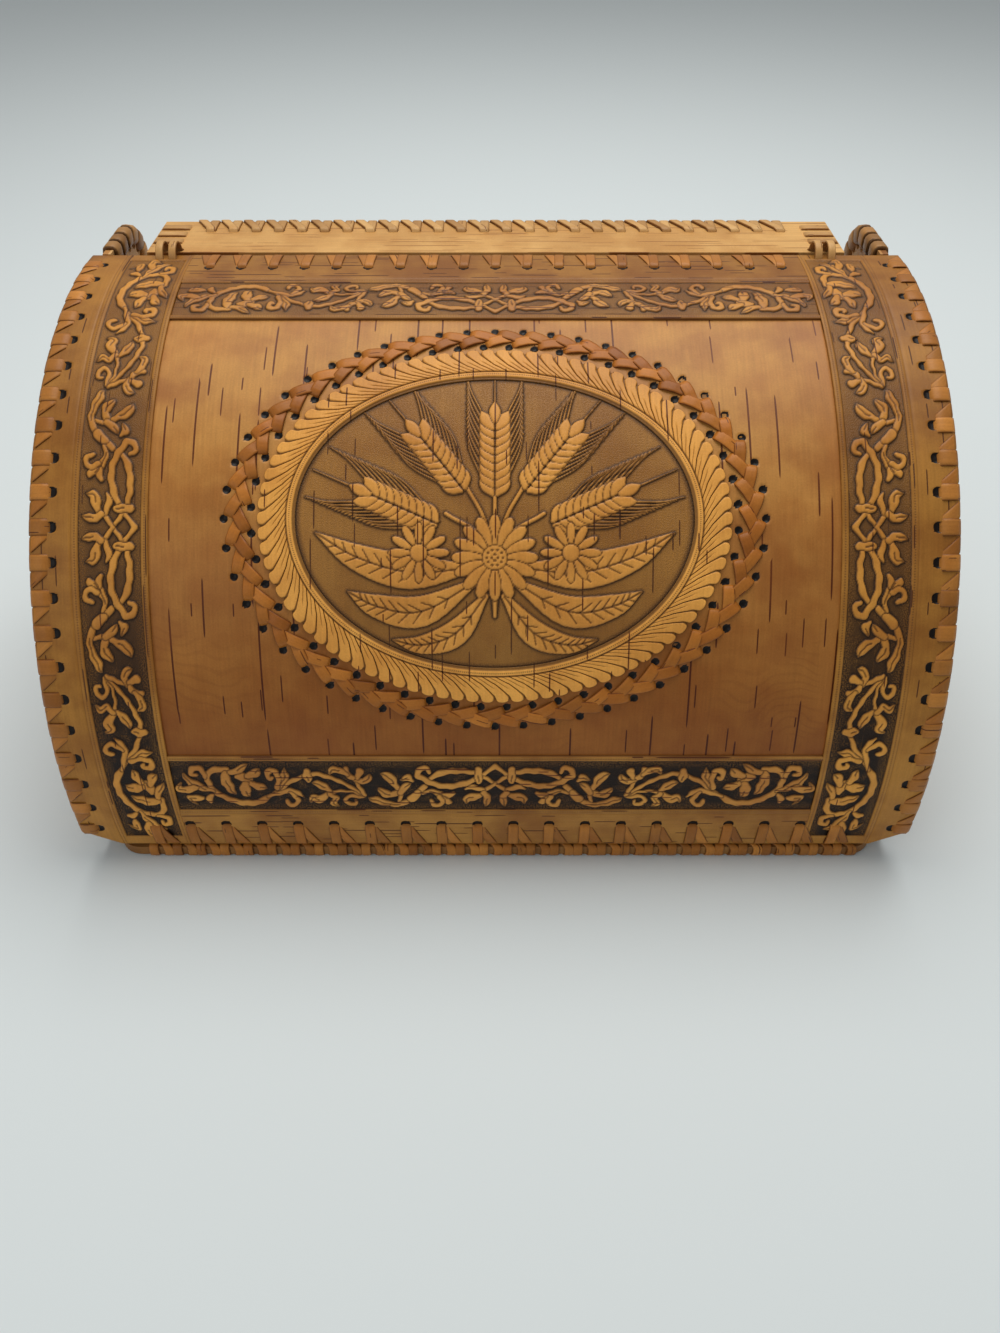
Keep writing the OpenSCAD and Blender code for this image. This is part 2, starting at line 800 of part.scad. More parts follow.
// An oval laid on the curve: half width a across, half height b along the curve
module oval(a, b) {
    on_hood(oval_deg) linear_extrude(height = 2 * hood_r)
        polygon([for (i = [0:oval_points - 1]) let (t = 360 * i / oval_points)
            [a * cos(t), hood_r * sin(b * sin(t) * mm_deg)]]);
}

// The part of a sheet on the lid's face that an oval's outline covers
module oval_sheet(a, b, t) {
    span = (b + line_w) * mm_deg;
    intersection() {
        side_plate(-a - cut, a + cut)
            arc_outline(hood_r + t, hood_r, oval_deg - span, oval_deg + span);
        oval(a, b);
    }
}

module medallion() {
    color(gilt_color) union() {
        oval_sheet(oval_w, oval_h, ground_t);
        difference() {
            oval_sheet(oval_w, oval_h, relief_t);
            oval(oval_w - tongue_w, oval_h - tongue_w);
        }
    }
}

module medallion_braid() {
    color(lace_color) difference() {
        oval_sheet(oval_w + braid_gap + braid_w, oval_h + braid_gap + braid_w, relief_t);
        oval(oval_w + braid_gap, oval_h + braid_gap);
    }
}

// ---- Lacing of the lid ----

// Loop from the side hole over the lid's edge, down the cheek and back through it
module side_loop() {
    s = lace_slack;
    g = s + lace_t;
    h = lace_t / 2;
    rotate([90, 0, 0]) band_of_lace() difference() {
        polygon([[side_hole_x - h, frame_r + g], [lid_x + g, frame_r + g],
            [lid_x + g, lid_in_r - g], [cheek_x + g, lid_in_r - g],
            [cheek_x + g, cheek_hole_r - h], [side_hole_x - h, cheek_hole_r - h]]);
        polygon([[side_hole_x + h, frame_r + s], [lid_x + s, frame_r + s],
            [lid_x + s, lid_in_r - s], [cheek_x + s, lid_in_r - s],
            [cheek_x + s, cheek_hole_r + h], [side_hole_x + h, cheek_hole_r + h]]);
    }
}

// Slanting strip from the side hole to the edge, and its fold down over the edge
module side_slant(way) {
    s = lace_slack;
    run = lid_x + s + lace_t - side_hole_x;
    len = sqrt(pow(run, 2) + pow(slant, 2));
    translate([0, 0, frame_r + s]) intersection() {
        translate([side_hole_x, 0, 0]) rotate([0, 0, way * atan2(slant, run)])
            translate([0, -lace_w / 2, 0]) cube([len + lace_w, lace_w, lace_t]);
        translate([0, -2 * slant, -cut]) cube([lid_x + s + lace_t, 4 * slant, 2 * cut + lace_t]);
    }
    translate([lid_x + s, way * slant - lace_w / 2, lid_in_r - s - lace_t])
        cube([lace_t, lace_w, lid_thick + 2 * (s + lace_t)]);
}

module side_lacing(way) {
    color(lace_color) lid_right_places() union() {
        side_loop();
        side_slant(way);
    }
}

module lid_right_lacing() {
    side_lacing(1);
}

module lid_left_lacing() {
    left_side() side_lacing(-1);
}

// Two loops that part from one hole and wrap the upper edge side by side
module lid_upper_lacing() {
    color(lace_color) lid_upper_places() union() {
        for (dx = [-fork, fork]) slant_loop(top_reach, dx, lid_thick, curve_slack);
    }
}

// One upright and one slanting loop from each hole of the lower edge
module lid_lower_lacing() {
    color(lace_color) lid_lower_places() union() {
        for (dx = [0, slant]) slant_loop(low_reach, dx, lid_thick, curve_slack);
    }
}

// ---- Cheeks ----

module cheek_outline() {
    r1 = cheek_top_round;
    r2 = cheek_low_round;
    intersection() {
        union() {
            translate([hood_y, hood_z]) circle(r = lid_in_r, $fn = arc_fn);
            translate([cheek_step_y, 0]) square([cheek_back - cheek_step_y, cheek_top]);
        }
        union() {
            translate([hood_y - hood_r, cheek_low])
                square([hood_r + cheek_back - r2 - hood_y, cheek_top - cheek_low - r1]);
            translate([hood_y - hood_r, cheek_low + r2])
                square([hood_r + cheek_back - r1 - hood_y, cheek_top - cheek_low - r2]);
            translate([hood_y, cheek_low + r2])
                square([cheek_back - hood_y, cheek_top - cheek_low - r1 - r2]);
            translate([cheek_back - r1, cheek_top - r1]) circle(r = r1, $fn = 96);
            translate([cheek_back - r2, cheek_low + r2]) circle(r = r2, $fn = 96);
        }
    }
}

// Frames round the right cheek's free edge, with local X outwards and Z to the left
module cheek_rim_places() {
    for (i = [0:rim_count - 1]) {
        p = rim_at((i + 0.5) * rim_len / rim_count);
        translate([cheek_x, p[0], p[1]]) rotate([p[2] - 90, 0, 0]) rotate([0, -90, 0])
            children();
    }
}

module cheek_sheet(x0, x1) {
    t = x1 - x0;
    difference() {
        side_plate(x0, x1) cheek_outline();
        cheek_rim_places() translate([-cheek_rim_reach, 0, 0]) drill(cheek_wall);
        lid_right_places() translate([x1, 0, cheek_hole_r]) wall_drill(t);
    }
}

module right_cheek() {
    color(margin_color) cheek_sheet(cheek_x - cheek_t, cheek_x);
}

module right_cheek_lining() {
    color(inner_color) cheek_sheet(cheek_in_x, cheek_x - cheek_t);
}

module left_cheek() {
    left_side() right_cheek();
}

module left_cheek_lining() {
    left_side() right_cheek_lining();
}

module right_cheek_rim_lacing() {
    color(dark_color) cheek_rim_places() edge_loop(cheek_rim_reach, cheek_wall, lace_slack);
}

module left_cheek_rim_lacing() {
    left_side() right_cheek_rim_lacing();
}

// ---- What is drawn ----

base_sole();
base_lower_sheet();
base_upper_sheet();
base_lining();
base_front_lacing();
base_back_lacing();
base_left_lacing();
base_right_lacing();
left_foot_lacing();
right_foot_lacing();
back_panel();
back_lining();
left_end_panel();
right_end_panel();
left_end_lining();
right_end_lining();
left_end_rim_lacing();
right_end_rim_lacing();
back_left_lacing();
back_right_lacing();
top_strip();
top_strip_lining();
strip_back_lacing();
strip_left_lacing();
strip_right_lacing();
left_hinge_ties();
right_hinge_ties();
lid_face();
lid_core();
lid_lining();
left_band();
right_band();
upper_band();
lower_band();
medallion();
medallion_braid();
left_cheek();
right_cheek();
left_cheek_lining();
right_cheek_lining();
lid_left_lacing();
lid_right_lacing();
lid_upper_lacing();
lid_lower_lacing();
left_cheek_rim_lacing();
right_cheek_rim_lacing();
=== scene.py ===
import bmesh
import bpy
import numpy as np
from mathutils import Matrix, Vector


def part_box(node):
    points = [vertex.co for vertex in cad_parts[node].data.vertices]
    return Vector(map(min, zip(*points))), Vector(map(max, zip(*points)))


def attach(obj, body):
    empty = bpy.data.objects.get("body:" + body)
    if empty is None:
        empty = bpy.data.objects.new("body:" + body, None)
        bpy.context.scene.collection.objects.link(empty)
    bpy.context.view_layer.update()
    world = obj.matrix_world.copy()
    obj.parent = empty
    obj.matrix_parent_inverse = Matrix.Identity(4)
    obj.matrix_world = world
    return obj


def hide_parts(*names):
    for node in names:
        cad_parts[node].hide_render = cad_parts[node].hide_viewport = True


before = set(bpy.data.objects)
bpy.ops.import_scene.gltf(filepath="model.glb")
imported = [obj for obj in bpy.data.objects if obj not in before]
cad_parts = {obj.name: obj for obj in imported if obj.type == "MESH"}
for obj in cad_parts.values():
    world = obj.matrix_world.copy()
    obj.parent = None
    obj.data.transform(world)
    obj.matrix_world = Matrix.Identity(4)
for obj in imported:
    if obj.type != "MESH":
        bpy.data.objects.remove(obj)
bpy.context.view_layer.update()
mm = 0.001


# ---- Base sheets ----
# Two thicknesses of bark with round corners, a sole under them and a clean lining on top.
# They are cut with the bark's dark pores running along the box, and show edge-on.

def srgb(red, green, blue):
    """Linear colour of a display colour given from 0 to 255."""
    c = np.array([red, green, blue]) / 255
    return (*np.where(c < 0.04045, c / 12.92, ((c + 0.055) / 1.055) ** 2.4), 1.0)


def put(tree, kind, inputs, **settings):
    """Adds a shader node. inputs gives each socket a value, or another node's output."""
    node = tree.nodes.new("ShaderNode" + kind)
    for key, value in settings.items():
        setattr(node, key, value)
    for key, value in inputs.items():
        if isinstance(value, bpy.types.NodeSocket):
            tree.links.new(value, node.inputs[key])
        else:
            node.inputs[key].default_value = value
    return node


def calc(tree, operation, *values):
    """Output of a Math node."""
    return put(tree, "Math", dict(enumerate(values)), operation=operation).outputs[0]


def mix(tree, amount, first, second):
    """Colour that goes from first to second as amount goes from 0 to 1."""
    return put(tree, "Mix", {0: amount, 6: first, 7: second}, data_type="RGBA").outputs[2]


def times(tree, first, second):
    """Product of two vectors or colours, part by part."""
    return put(tree, "VectorMath", {0: first, 1: second}, operation="MULTIPLY").outputs[0]


def rise_between(tree, value, low, high):
    """0 below low and 1 above high, with a smooth step between them."""
    return put(tree, "MapRange", {0: value, 1: low, 2: high},
               interpolation_type="SMOOTHSTEP").outputs[0]


def fall_between(tree, value, low, high):
    """1 below low and 0 above high, with a smooth step between them."""
    return calc(tree, "SUBTRACT", 1.0, rise_between(tree, value, low, high))


def noise(tree, place, scale, stretch=(1, 1, 1), detail=3.0):
    """Noise from 0 to 1 on a place that is stretched first."""
    moved = times(tree, place, stretch)
    return put(tree, "TexNoise", {"Vector": moved, "Scale": scale, "Detail": detail}).outputs[0]


def pores(tree, place, across, along, half_width, half_length, share):
    """Long dark pores, 1 inside one and 0 outside. Each cell of across by along metres has one
    if chance, below share, lets it: a blunt ellipse about the cell's point, half_width by at
    most 1.35 half_length."""
    cells = times(tree, place, (1 / across, 1 / along, 0))
    cell = put(tree, "TexVoronoi", {"Vector": cells, "Scale": 1.0}, voronoi_dimensions="2D")
    chance = put(tree, "SeparateColor", {0: cell.outputs["Color"]}).outputs
    apart = put(tree, "VectorMath", {0: cells, 1: cell.outputs["Position"]},
                operation="SUBTRACT").outputs[0]
    size = times(tree, apart, (across / half_width, along / half_length, 0))
    parts = put(tree, "SeparateXYZ", {0: size}).outputs
    length = calc(tree, "ADD", 0.35, chance[1])
    away = calc(tree, "POWER", calc(tree, "DIVIDE", parts[1], length), 8.0)
    away = calc(tree, "ADD", away, calc(tree, "POWER", parts[0], 2.0))
    inside = fall_between(tree, away, 0.5, 1.0)
    return calc(tree, "MULTIPLY", inside, calc(tree, "LESS_THAN", chance[0], share))


def bark(name, pale, deep, pore, order=None, large=(0.013, 0.05, 0.0004, 0.014, 0.5),
         small=(0.006, 0.018, 0.0003, 0.004, 0.3), rough=0.5, bump=0.5, relief=None):
    """Birch bark: slow changes from pale to deep, fine streaks and specks, and large and small
    pores, whose five measures pores() explains. order gives the object's axes across the pores
    and along them; without it the grain attribute does. relief, if given, changes the colour
    and the bump's height by what the piece's other attributes hold."""
    material = bpy.data.materials.new(name)
    material.use_nodes = True
    tree = material.node_tree
    shader = tree.nodes["Principled BSDF"]
    if order is None:
        place = put(tree, "Attribute", {}, attribute_name="grain").outputs["Vector"]
    else:
        axes = put(tree, "SeparateXYZ",
                   {0: put(tree, "TexCoord", {}).outputs["Object"]}).outputs
        place = put(tree, "CombineXYZ",
                    {k: axes["XYZ".index(letter)] for k, letter in enumerate(order)}).outputs[0]
    tone = calc(tree, "ADD", calc(tree, "MULTIPLY", noise(tree, place, 16), 0.65),
                calc(tree, "MULTIPLY", noise(tree, place, 75), 0.35))
    colour = mix(tree, rise_between(tree, tone, 0.36, 0.64), deep, pale)
    streak = noise(tree, place, 1.0, (900, 45, 200), 4)
    speck = noise(tree, place, 1300, detail=2)
    shade = calc(tree, "ADD", calc(tree, "MULTIPLY", streak, 0.34),
                 calc(tree, "MULTIPLY", speck, 0.3))
    worn = calc(tree, "MULTIPLY", noise(tree, place, 34, detail=5), 0.24)
    shade = calc(tree, "ADD", calc(tree, "ADD", 0.56, worn), shade)
    colour = times(tree, colour, shade)
    dark = calc(tree, "MAXIMUM", pores(tree, place, *large), pores(tree, place, *small))
    colour = mix(tree, calc(tree, "MULTIPLY", dark, 0.95), colour, pore)
    height = calc(tree, "ADD", calc(tree, "MULTIPLY", streak, 0.5),
                  calc(tree, "SUBTRACT", calc(tree, "MULTIPLY", speck, 0.5), dark))
    if relief is not None:
        colour, height = relief(tree, place, colour, height)
    tree.links.new(colour, shader.inputs["Base Color"])
    uneven = calc(tree, "MULTIPLY_ADD", tone, 0.25, rough - 0.12)
    tree.links.new(uneven, shader.inputs["Roughness"])
    raised = put(tree, "Bump", {"Strength": bump, "Distance": 0.15 * mm, "Height": height})
    tree.links.new(raised.outputs[0], shader.inputs["Normal"])
    shader.inputs["Specular IOR Level"].default_value = 0.22
    return material


def dress(material, *names):
    """Gives CAD nodes a material."""
    for name in names:
        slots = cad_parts[name].material_slots
        for slot in slots:
            slot.material = material
        if not slots:
            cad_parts[name].data.materials.append(material)


margin_pale, margin_deep = srgb(164, 116, 62), srgb(132, 88, 44)
pore_brown = srgb(76, 38, 16)
dress(bark("base_bark", margin_pale, margin_deep, pore_brown, "YXZ"),
      "base_sole", "base_lower_sheet", "base_upper_sheet")
dress(bark("clean_bark", srgb(218, 174, 116), srgb(200, 150, 92), srgb(146, 90, 46), "YXZ"),
      "base_lining")


# ---- Base lacing ----
# Damp bark strips wrapped through holes and over the base's edge, one upright and one
# slanting at each hole. They swell in the middle and pull the sheets together.

lace_width, lace_thick = 4.6 * mm, 0.9 * mm
lace_slack = 0.2 * mm
section_across = np.array([-0.5, 0.5, 0.47, 0.3, -0.3, -0.47])
section_up = np.array([0.0, 0.0, 0.8, 1.0, 1.0, 0.8])
along_x, along_y, along_z = np.eye(3)


def at(x, y, z):
    """Points, or other triples, from three arrays or single values."""
    return np.stack(np.broadcast_arrays(x, y, z), -1)


def unit(vectors):
    """The vectors at length 1."""
    return vectors / np.linalg.norm(vectors, axis=2, keepdims=True)


def new_piece(name, vertices, faces, attributes, material, body, slot, replaced):
    """Object at the origin from vertices and faces (an array or a list), with its attributes."""
    mesh = bpy.data.meshes.new(name)
    mesh.from_pydata(vertices.tolist(), [], [list(face) for face in faces])
    for key, values in attributes.items():
        layer = mesh.attributes.new(key, "FLOAT_VECTOR", "POINT")
        layer.data.foreach_set("vector", np.asarray(values, np.float32).ravel())
    mesh.materials.append(material)
    mesh.shade_smooth()
    piece = bpy.data.objects.new(name, mesh)
    bpy.context.scene.collection.objects.link(piece)
    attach(piece, body)
    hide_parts(*replaced)
    return piece


def strips(name, path, across, up, closed, width, thick, seed, **facts):
    """Strips of a domed section carried along paths. path, across and up are arrays of
    (strips, points, 3): the middle of each underside, and the section's two directions. The
    place is path + across * width * section_across + up * thick * section_up. Open strips are
    a little narrower at their ends, and closed ones join end to end."""
    count, points, _ = path.shape
    ring = len(section_up)
    swell = np.ones(points) if closed else 1 - 0.12 * np.linspace(-1, 1, points) ** 4
    places = path[:, :, None] + across[:, :, None] * (section_across * width)[:, None] \
        * swell[:, None, None] + up[:, :, None] * (section_up * thick)[:, None]
    index = np.arange(count * points * ring).reshape(count, points, ring)
    near = index if closed else index[:, :-1]
    far = np.roll(index, -1, 1) if closed else index[:, 1:]
    turn = (np.arange(ring) + 1) % ring
    faces = np.stack([near, near[:, :, turn], far[:, :, turn], far], -1).reshape(-1, 4).tolist()
    if not closed:
        faces += index[:, 0, ::-1].tolist() + index[:, -1].tolist()
    step = np.linalg.norm(np.diff(path, axis=1), axis=2)
    along = np.concatenate([np.zeros((count, 1)), np.cumsum(step, 1)], 1)
    chance = np.random.default_rng(seed).random((count, 2))
    grain = at(section_across * width + chance[:, :1, None],
               along[:, :, None] + chance[:, 1:, None] * 9, chance[:, :1, None])
    # How near each strip's edge a place is, which the lace materials use for painted edge shade.
    edge = at(np.abs(section_across) * 2, 0 * along[:, :, None], chance[:, :1, None])
    return new_piece(name, places.reshape(-1, 3), faces,
                     {"grain": grain.reshape(-1, 3), "tooling": edge.reshape(-1, 3)}, **facts)


def loops(name, path, along_edge, seed, width=lace_width, thick=lace_thick, **facts):
    """Closed flat loops. along_edge is the direction of the edge that they wrap, which their
    sides follow, also where a loop slants. Their top faces away from the loop's inside."""
    middle = path - path.mean(1, keepdims=True)
    area = np.cross(middle, np.roll(middle, -1, 1)).sum(1, keepdims=True)
    across = along_edge * np.sign((area * along_edge).sum(2, keepdims=True))
    ahead = np.roll(path, -1, 1) - np.roll(path, 1, 1)
    up = unit(np.cross(ahead, across))
    return strips(name, path, np.broadcast_to(across, path.shape), up, True, width, thick, seed,
                  **facts)


def wrap(reach, depth, slack=lace_slack):
    """Loop round an edge as (out, up): a superellipse, which is a rectangle with round
    corners, about a sheet that lies from up = -depth to 0. It comes out of the hole at inset
    past the hole's middle, which is out = 0, and the edge is at out = reach."""
    points, soft, inset = 14, 0.45, 1.4 * mm
    a = np.pi - 2 * np.pi * np.arange(points) / points
    half = (reach - inset) / 2
    out = inset + half + (half + slack) * np.sign(np.cos(a)) * np.abs(np.cos(a)) ** soft
    up = -depth / 2 + (depth / 2 + slack) * np.sign(np.sin(a)) * np.abs(np.sin(a)) ** soft
    return out, up


def laid(start, side, outward, upward, shape, slant=0.0, reach=1.0):
    """Puts a loop's (out, up) shape at each start. side is the direction along the edge, and
    the loop slants that way by slant between the hole and the edge."""
    out, up = shape
    lean = slant * np.clip(out / reach, 0, 1.1)
    return (np.asarray(start)[:, None] + lean[None, :, None] * np.asarray(side)
            + out[None, :, None] * np.asarray(outward) + up[None, :, None] * np.asarray(upward))


def row(count, pitch):
    """Middles of count places in a centred row."""
    return (np.arange(count) - (count - 1) / 2) * pitch


def held(tree, attribute):
    """The three parts that an attribute holds."""
    vector = put(tree, "Attribute", {}, attribute_name=attribute).outputs["Vector"]
    return put(tree, "SeparateXYZ", {0: vector}).outputs


def lace_material(name, pale, deep, dark_tone_and_edge_shade):
    """Strips of bark, each of its own tone, darker along their edges with painted shade where
    strips meet and overlap. The tooling attribute holds how near the strip's edge a place is, and
    the strip's own chance."""
    def vary(tree, place, colour, height):
        own = held(tree, "tooling")
        colour = mix(tree, calc(tree, "MULTIPLY", own[2], 0.45), colour, dark_tone_and_edge_shade)
        # Painted shade: each strip darkens towards its edges, where it meets its neighbours.
        edge = rise_between(tree, own[0], 0.78, 1.0)
        return mix(tree, calc(tree, "MULTIPLY", edge, 0.75), colour, dark_tone_and_edge_shade), height
    return bark(name, pale, deep, dark_tone_and_edge_shade, large=(0.02, 0.03, 0.0003, 0.006, 0.3),
                small=(0.005, 0.012, 0.0002, 0.002, 0.4), rough=0.42, relief=vary)


# The last colour of each lace material is its pores' and darker strips' tone, and the painted shade
# along strip edges.
lace_bark = lace_material("lace_bark", srgb(202, 135, 60), srgb(176, 110, 43), srgb(92, 50, 20))
base_low, base_high = (np.array(c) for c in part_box("base_upper_sheet"))
base_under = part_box("base_lower_sheet")[0][2]
base_mid_y = (base_low[1] + base_high[1]) / 2
base_reach, base_pitch = 5.2 * mm, 11 * mm
base_front_count, base_side_count = 30, 19
base_lean = base_pitch * 0.62
base_depth = base_high[2] - base_under
base_shape = wrap(base_reach, base_depth)
base_fit = {"material": lace_bark, "body": "body", "slot": "lace"}
sides = (("left", -1), ("right", 1))


def base_wraps(start, side, outward):
    """An upright and a leaning loop round the base's edge at each start."""
    return np.concatenate([laid(start, side, outward, along_z, base_shape, slant, base_reach)
                           for slant in (0.0, base_lean)])


front_start = at(row(base_front_count, base_pitch), base_low[1] + base_reach, base_high[2])
loops("base_front_wraps", base_wraps(front_start, along_x, -along_y), along_x, seed=2,
      replaced=["base_front_lacing"], **base_fit)

side_y = base_mid_y + row(base_side_count, base_pitch)
for name, way in sides:
    start = at(way * (base_high[0] - base_reach), side_y, base_high[2])
    loops(f"base_{name}_wraps", base_wraps(start, along_y, way * along_x), along_y,
          seed=3 + way, replaced=[f"base_{name}_lacing"], **base_fit)


# ---- Walls ----
# Flat end and back panels with the bark's good side out, each lined with clean bark. Strips
# lace them to the base and to each other.

dress(bark("wall_bark", srgb(182, 128, 70), srgb(150, 96, 48), pore_brown, "YZX"),
      "left_end_panel", "right_end_panel")
dress(bark("back_bark", srgb(182, 128, 70), srgb(150, 96, 48), pore_brown, "XZY"), "back_panel")
inner_colours = srgb(210, 164, 106), srgb(188, 138, 82), srgb(150, 98, 56)
dress(bark("end_lining_bark", *inner_colours, "YZX"), "left_end_lining", "right_end_lining")
dress(bark("back_lining_bark", *inner_colours, "XZY"), "back_lining")


def corner(reach_a, reach_b, wall_a, wall_b, slack=lace_slack):
    """Loop round two walls that meet at a right angle, as (a, b) from their outer corner.
    Wall a runs towards -a and wall b towards -b. The points are evened out round the loop,
    which goes through the far side of its holes, past their middles, and so covers them."""
    points, past = 18, 1.8 * mm
    c = slack
    reach_a, reach_b = reach_a + past, reach_b + past
    outline = np.array([(-reach_a, c), (-2 * mm, c), (c * 0.7, c * 0.7), (c, -2 * mm),
                        (c, -reach_b), (-wall_b - c, -reach_b), (-wall_b - c, -wall_a - c),
                        (-reach_a, -wall_a - c), (-reach_a, c)])
    run = np.concatenate([[0], np.cumsum(np.linalg.norm(np.diff(outline, axis=0), axis=1))])
    even = np.arange(points) / points * run[-1]
    return np.interp(even, run, outline[:, 0]), np.interp(even, run, outline[:, 1])


body_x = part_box("right_end_panel")[1][0]
wall_in_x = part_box("right_end_lining")[0][0]
back_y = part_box("back_panel")[1][1]
wall = body_x - wall_in_x
foot_rise, foot_count, foot_pitch = 7 * mm, 11, 18 * mm
corner_reach, corner_count, corner_pitch = 12 * mm, 13, 13 * mm
base_back_count = 28
strip_low, strip_high = (np.array(c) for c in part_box("top_strip"))
strip_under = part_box("top_strip_lining")[0][2]
wall_mid_z = (strip_under + base_high[2]) / 2

foot_y = base_mid_y + row(foot_count, foot_pitch)
foot_shape = wrap(wall, base_depth + foot_rise)
corner_z = wall_mid_z + row(corner_count, corner_pitch)
corner_shape = corner(corner_reach, corner_reach, wall, wall)
for name, way in sides:
    start = at(way * wall_in_x, foot_y, base_high[2] + foot_rise)
    loops(f"{name}_foot_wraps", laid(start, along_y, way * along_x, along_z, foot_shape),
          along_y, seed=7 + way, replaced=[f"{name}_foot_lacing"], **base_fit)
    start = at(way * body_x, back_y, corner_z)
    loops(f"back_{name}_wraps", laid(start, along_z, way * along_x, along_y, corner_shape),
          along_z, seed=9 + way, replaced=[f"back_{name}_lacing"], **base_fit)

start = at(row(base_back_count, base_pitch), back_y, base_under)
foot_corner = corner(corner_reach, base_depth + foot_rise, base_depth, wall)
loops("base_back_wraps", laid(start, along_x, along_y, -along_z, foot_corner), along_x,
      seed=12, replaced=["base_back_lacing"], **base_fit)


# ---- Top strip ----
# A flat strip of pale bark with long thin pores, which closes the body behind the lid. From
# each hole an upright and a slanting strip wrap its back edge, and three hold each end.

dress(bark("pale_bark", srgb(214, 166, 100), srgb(192, 140, 77), srgb(140, 84, 36), "YXZ",
           large=(0.006, 0.06, 0.00035, 0.026, 0.6), small=(0.004, 0.03, 0.0002, 0.008, 0.5),
           rough=0.46), "top_strip")
dress(bark("strip_lining_bark", *inner_colours, "YXZ"), "top_strip_lining")
pale_lace = lace_material("pale_lace", srgb(222, 176, 112), srgb(198, 148, 86),
                          srgb(124, 76, 34))
strip_depth = strip_high[2] - strip_under
strip_fit = {"material": pale_lace, "body": "body", "slot": "pale_lace"}
strip_count, strip_pitch, strip_lean = 26, 11.2 * mm, 7 * mm
start = at(row(strip_count, strip_pitch), back_y, strip_high[2])
strip_corner = corner(corner_reach, corner_reach, strip_depth, wall)
upright = laid(start, along_x, along_y, along_z, strip_corner)
slanting = laid(start, along_x, along_y, along_z,
                corner(corner_reach, corner_reach, strip_depth, wall, 0.5 * mm))
slanting[:, :, 0] -= strip_lean * np.clip(1 + strip_corner[0] / corner_reach, 0, 1)
loops("strip_back_wraps", np.concatenate([upright, slanting]), along_x, seed=14,
      replaced=["strip_back_lacing"], **strip_fit)
end_count, end_pitch = 3, 9 * mm
end_y = back_y - corner_reach + lace_width / 2 - end_pitch + row(end_count, end_pitch)
for name, way in sides:
    start = at(way * body_x, end_y, strip_high[2])
    loops(f"strip_{name}_wraps", laid(start, along_y, way * along_x, along_z, strip_corner),
          along_y, width=5 * mm, seed=16 + way, replaced=[f"strip_{name}_lacing"], **strip_fit)


# ---- Hinge ties ----
# Each tie is a strip drawn twice through a hole in the lid and one in the top strip, and
# knotted under it. The lid turns on these rings.

tie_low, tie_high = (np.array(c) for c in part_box("right_hinge_ties"))
tie_mid = (tie_low + tie_high) / 2
tie_r = (tie_high[2] - tie_low[2]) / 2 - lace_thick
tie_width, tie_pitch, tie_points = 3.6 * mm, 6 * mm, 20
turn = np.linspace(0, 2 * np.pi, tie_points, endpoint=False)
ring = at(0, tie_r * np.cos(turn), tie_r * np.sin(turn))
for name, way in sides:
    ties = at(way * tie_mid[0] + row(2, tie_pitch), tie_mid[1], tie_mid[2])
    loops(f"{name}_tie_rings", ties[:, None] + ring, along_x, width=tie_width, seed=19 + way,
          replaced=[f"{name}_hinge_ties"], **strip_fit)


# ---- Smooth sheet of the lid ----
# One large sheet of orange bark bent over the lid's core, its pores running up the curve. It
# shows inside the embossed frame, and holes for the braid are punched through it; here they are
# shallow dips with painted black shade.

frame_thick = 1.2 * mm
frame_r = 0.1792
band_low, band_high = (np.array(c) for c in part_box("right_band"))
lid_x = band_high[0]
hood_y = band_low[1] + frame_r
hood_z = band_high[2] - frame_r
smooth_r = frame_r - frame_thick
low_edge = np.arcsin((band_low[2] - hood_z) / frame_r)
high_edge = np.arccos((hood_y - band_high[1]) / frame_r)
arc = (high_edge - low_edge) * frame_r
lid_in_r = frame_r - 5 * mm
cut_width, cut_height = 16 * mm, 10 * mm
field_x = band_low[0]
field_low, field_high = 57 * mm, arc - 57 * mm
oval_w, oval_h = 97 * mm, 77.5 * mm
oval_s = (field_low + field_high) / 2 + 3.7 * mm


def hood(x, s, rise):
    """Points of the lid: x across, s up the curve from the lower edge, measured on the
    frame's face, and rise above the smooth sheet. The hood's centre line runs along X."""
    elevation = low_edge + s / frame_r
    r = smooth_r + rise
    return at(x, hood_y - r * np.cos(elevation), hood_z + r * np.sin(elevation))


def lines(*stops):
    """Grid lines from stop to stop: (place, step, place, step, ..., place)."""
    parts = [np.linspace(a, b, max(2, int(np.ceil(abs(b - a) / step)) + 1))[:-1]
             for a, step, b in zip(stops[:-2:2], stops[1:-1:2], stops[2::2])]
    return np.concatenate(parts + [stops[-1:]])


def cut_corners(x, s):
    """Draws a full-width grid in where the lid's lower corners are cut off."""
    share = np.clip(1 - s / cut_height, 0, 1)
    return x * (1 - share * cut_width / lid_x)


def punch(x, s, rise, centres, radius, depth, step):
    """Round holes: grid points near a rim move onto it, and inside it the face drops by
    depth. Returns 1 where a point is inside a hole, and 0 elsewhere."""
    pit = np.zeros(x.shape)
    for cx, cs in centres:
        near = np.nonzero((np.abs(x - cx) < 2 * radius) & (np.abs(s - cs) < 2 * radius))
        dx, ds = x[near] - cx, s[near] - cs
        d = np.maximum(np.hypot(dx, ds), 1e-6)
        on_rim = np.abs(d - radius) < step / 2
        scale = np.where(on_rim, radius / d, 1)
        x[near], s[near] = cx + dx * scale, cs + ds * scale
        inside = (d < radius) & ~on_rim
        rise[near] = np.where(inside, rise[near] - depth, rise[near])
        pit[near] = np.maximum(pit[near], inside)
    return pit


def grid_faces(index):
    """Quads of a grid of point numbers."""
    return np.stack([index[:-1, :-1], index[:-1, 1:], index[1:, 1:], index[1:, :-1]],
                    -1).reshape(-1, 4)


def between(first, second):
    """Quads between two rows of point numbers."""
    return np.stack([first[:-1], first[1:], second[1:], second[:-1]], -1)


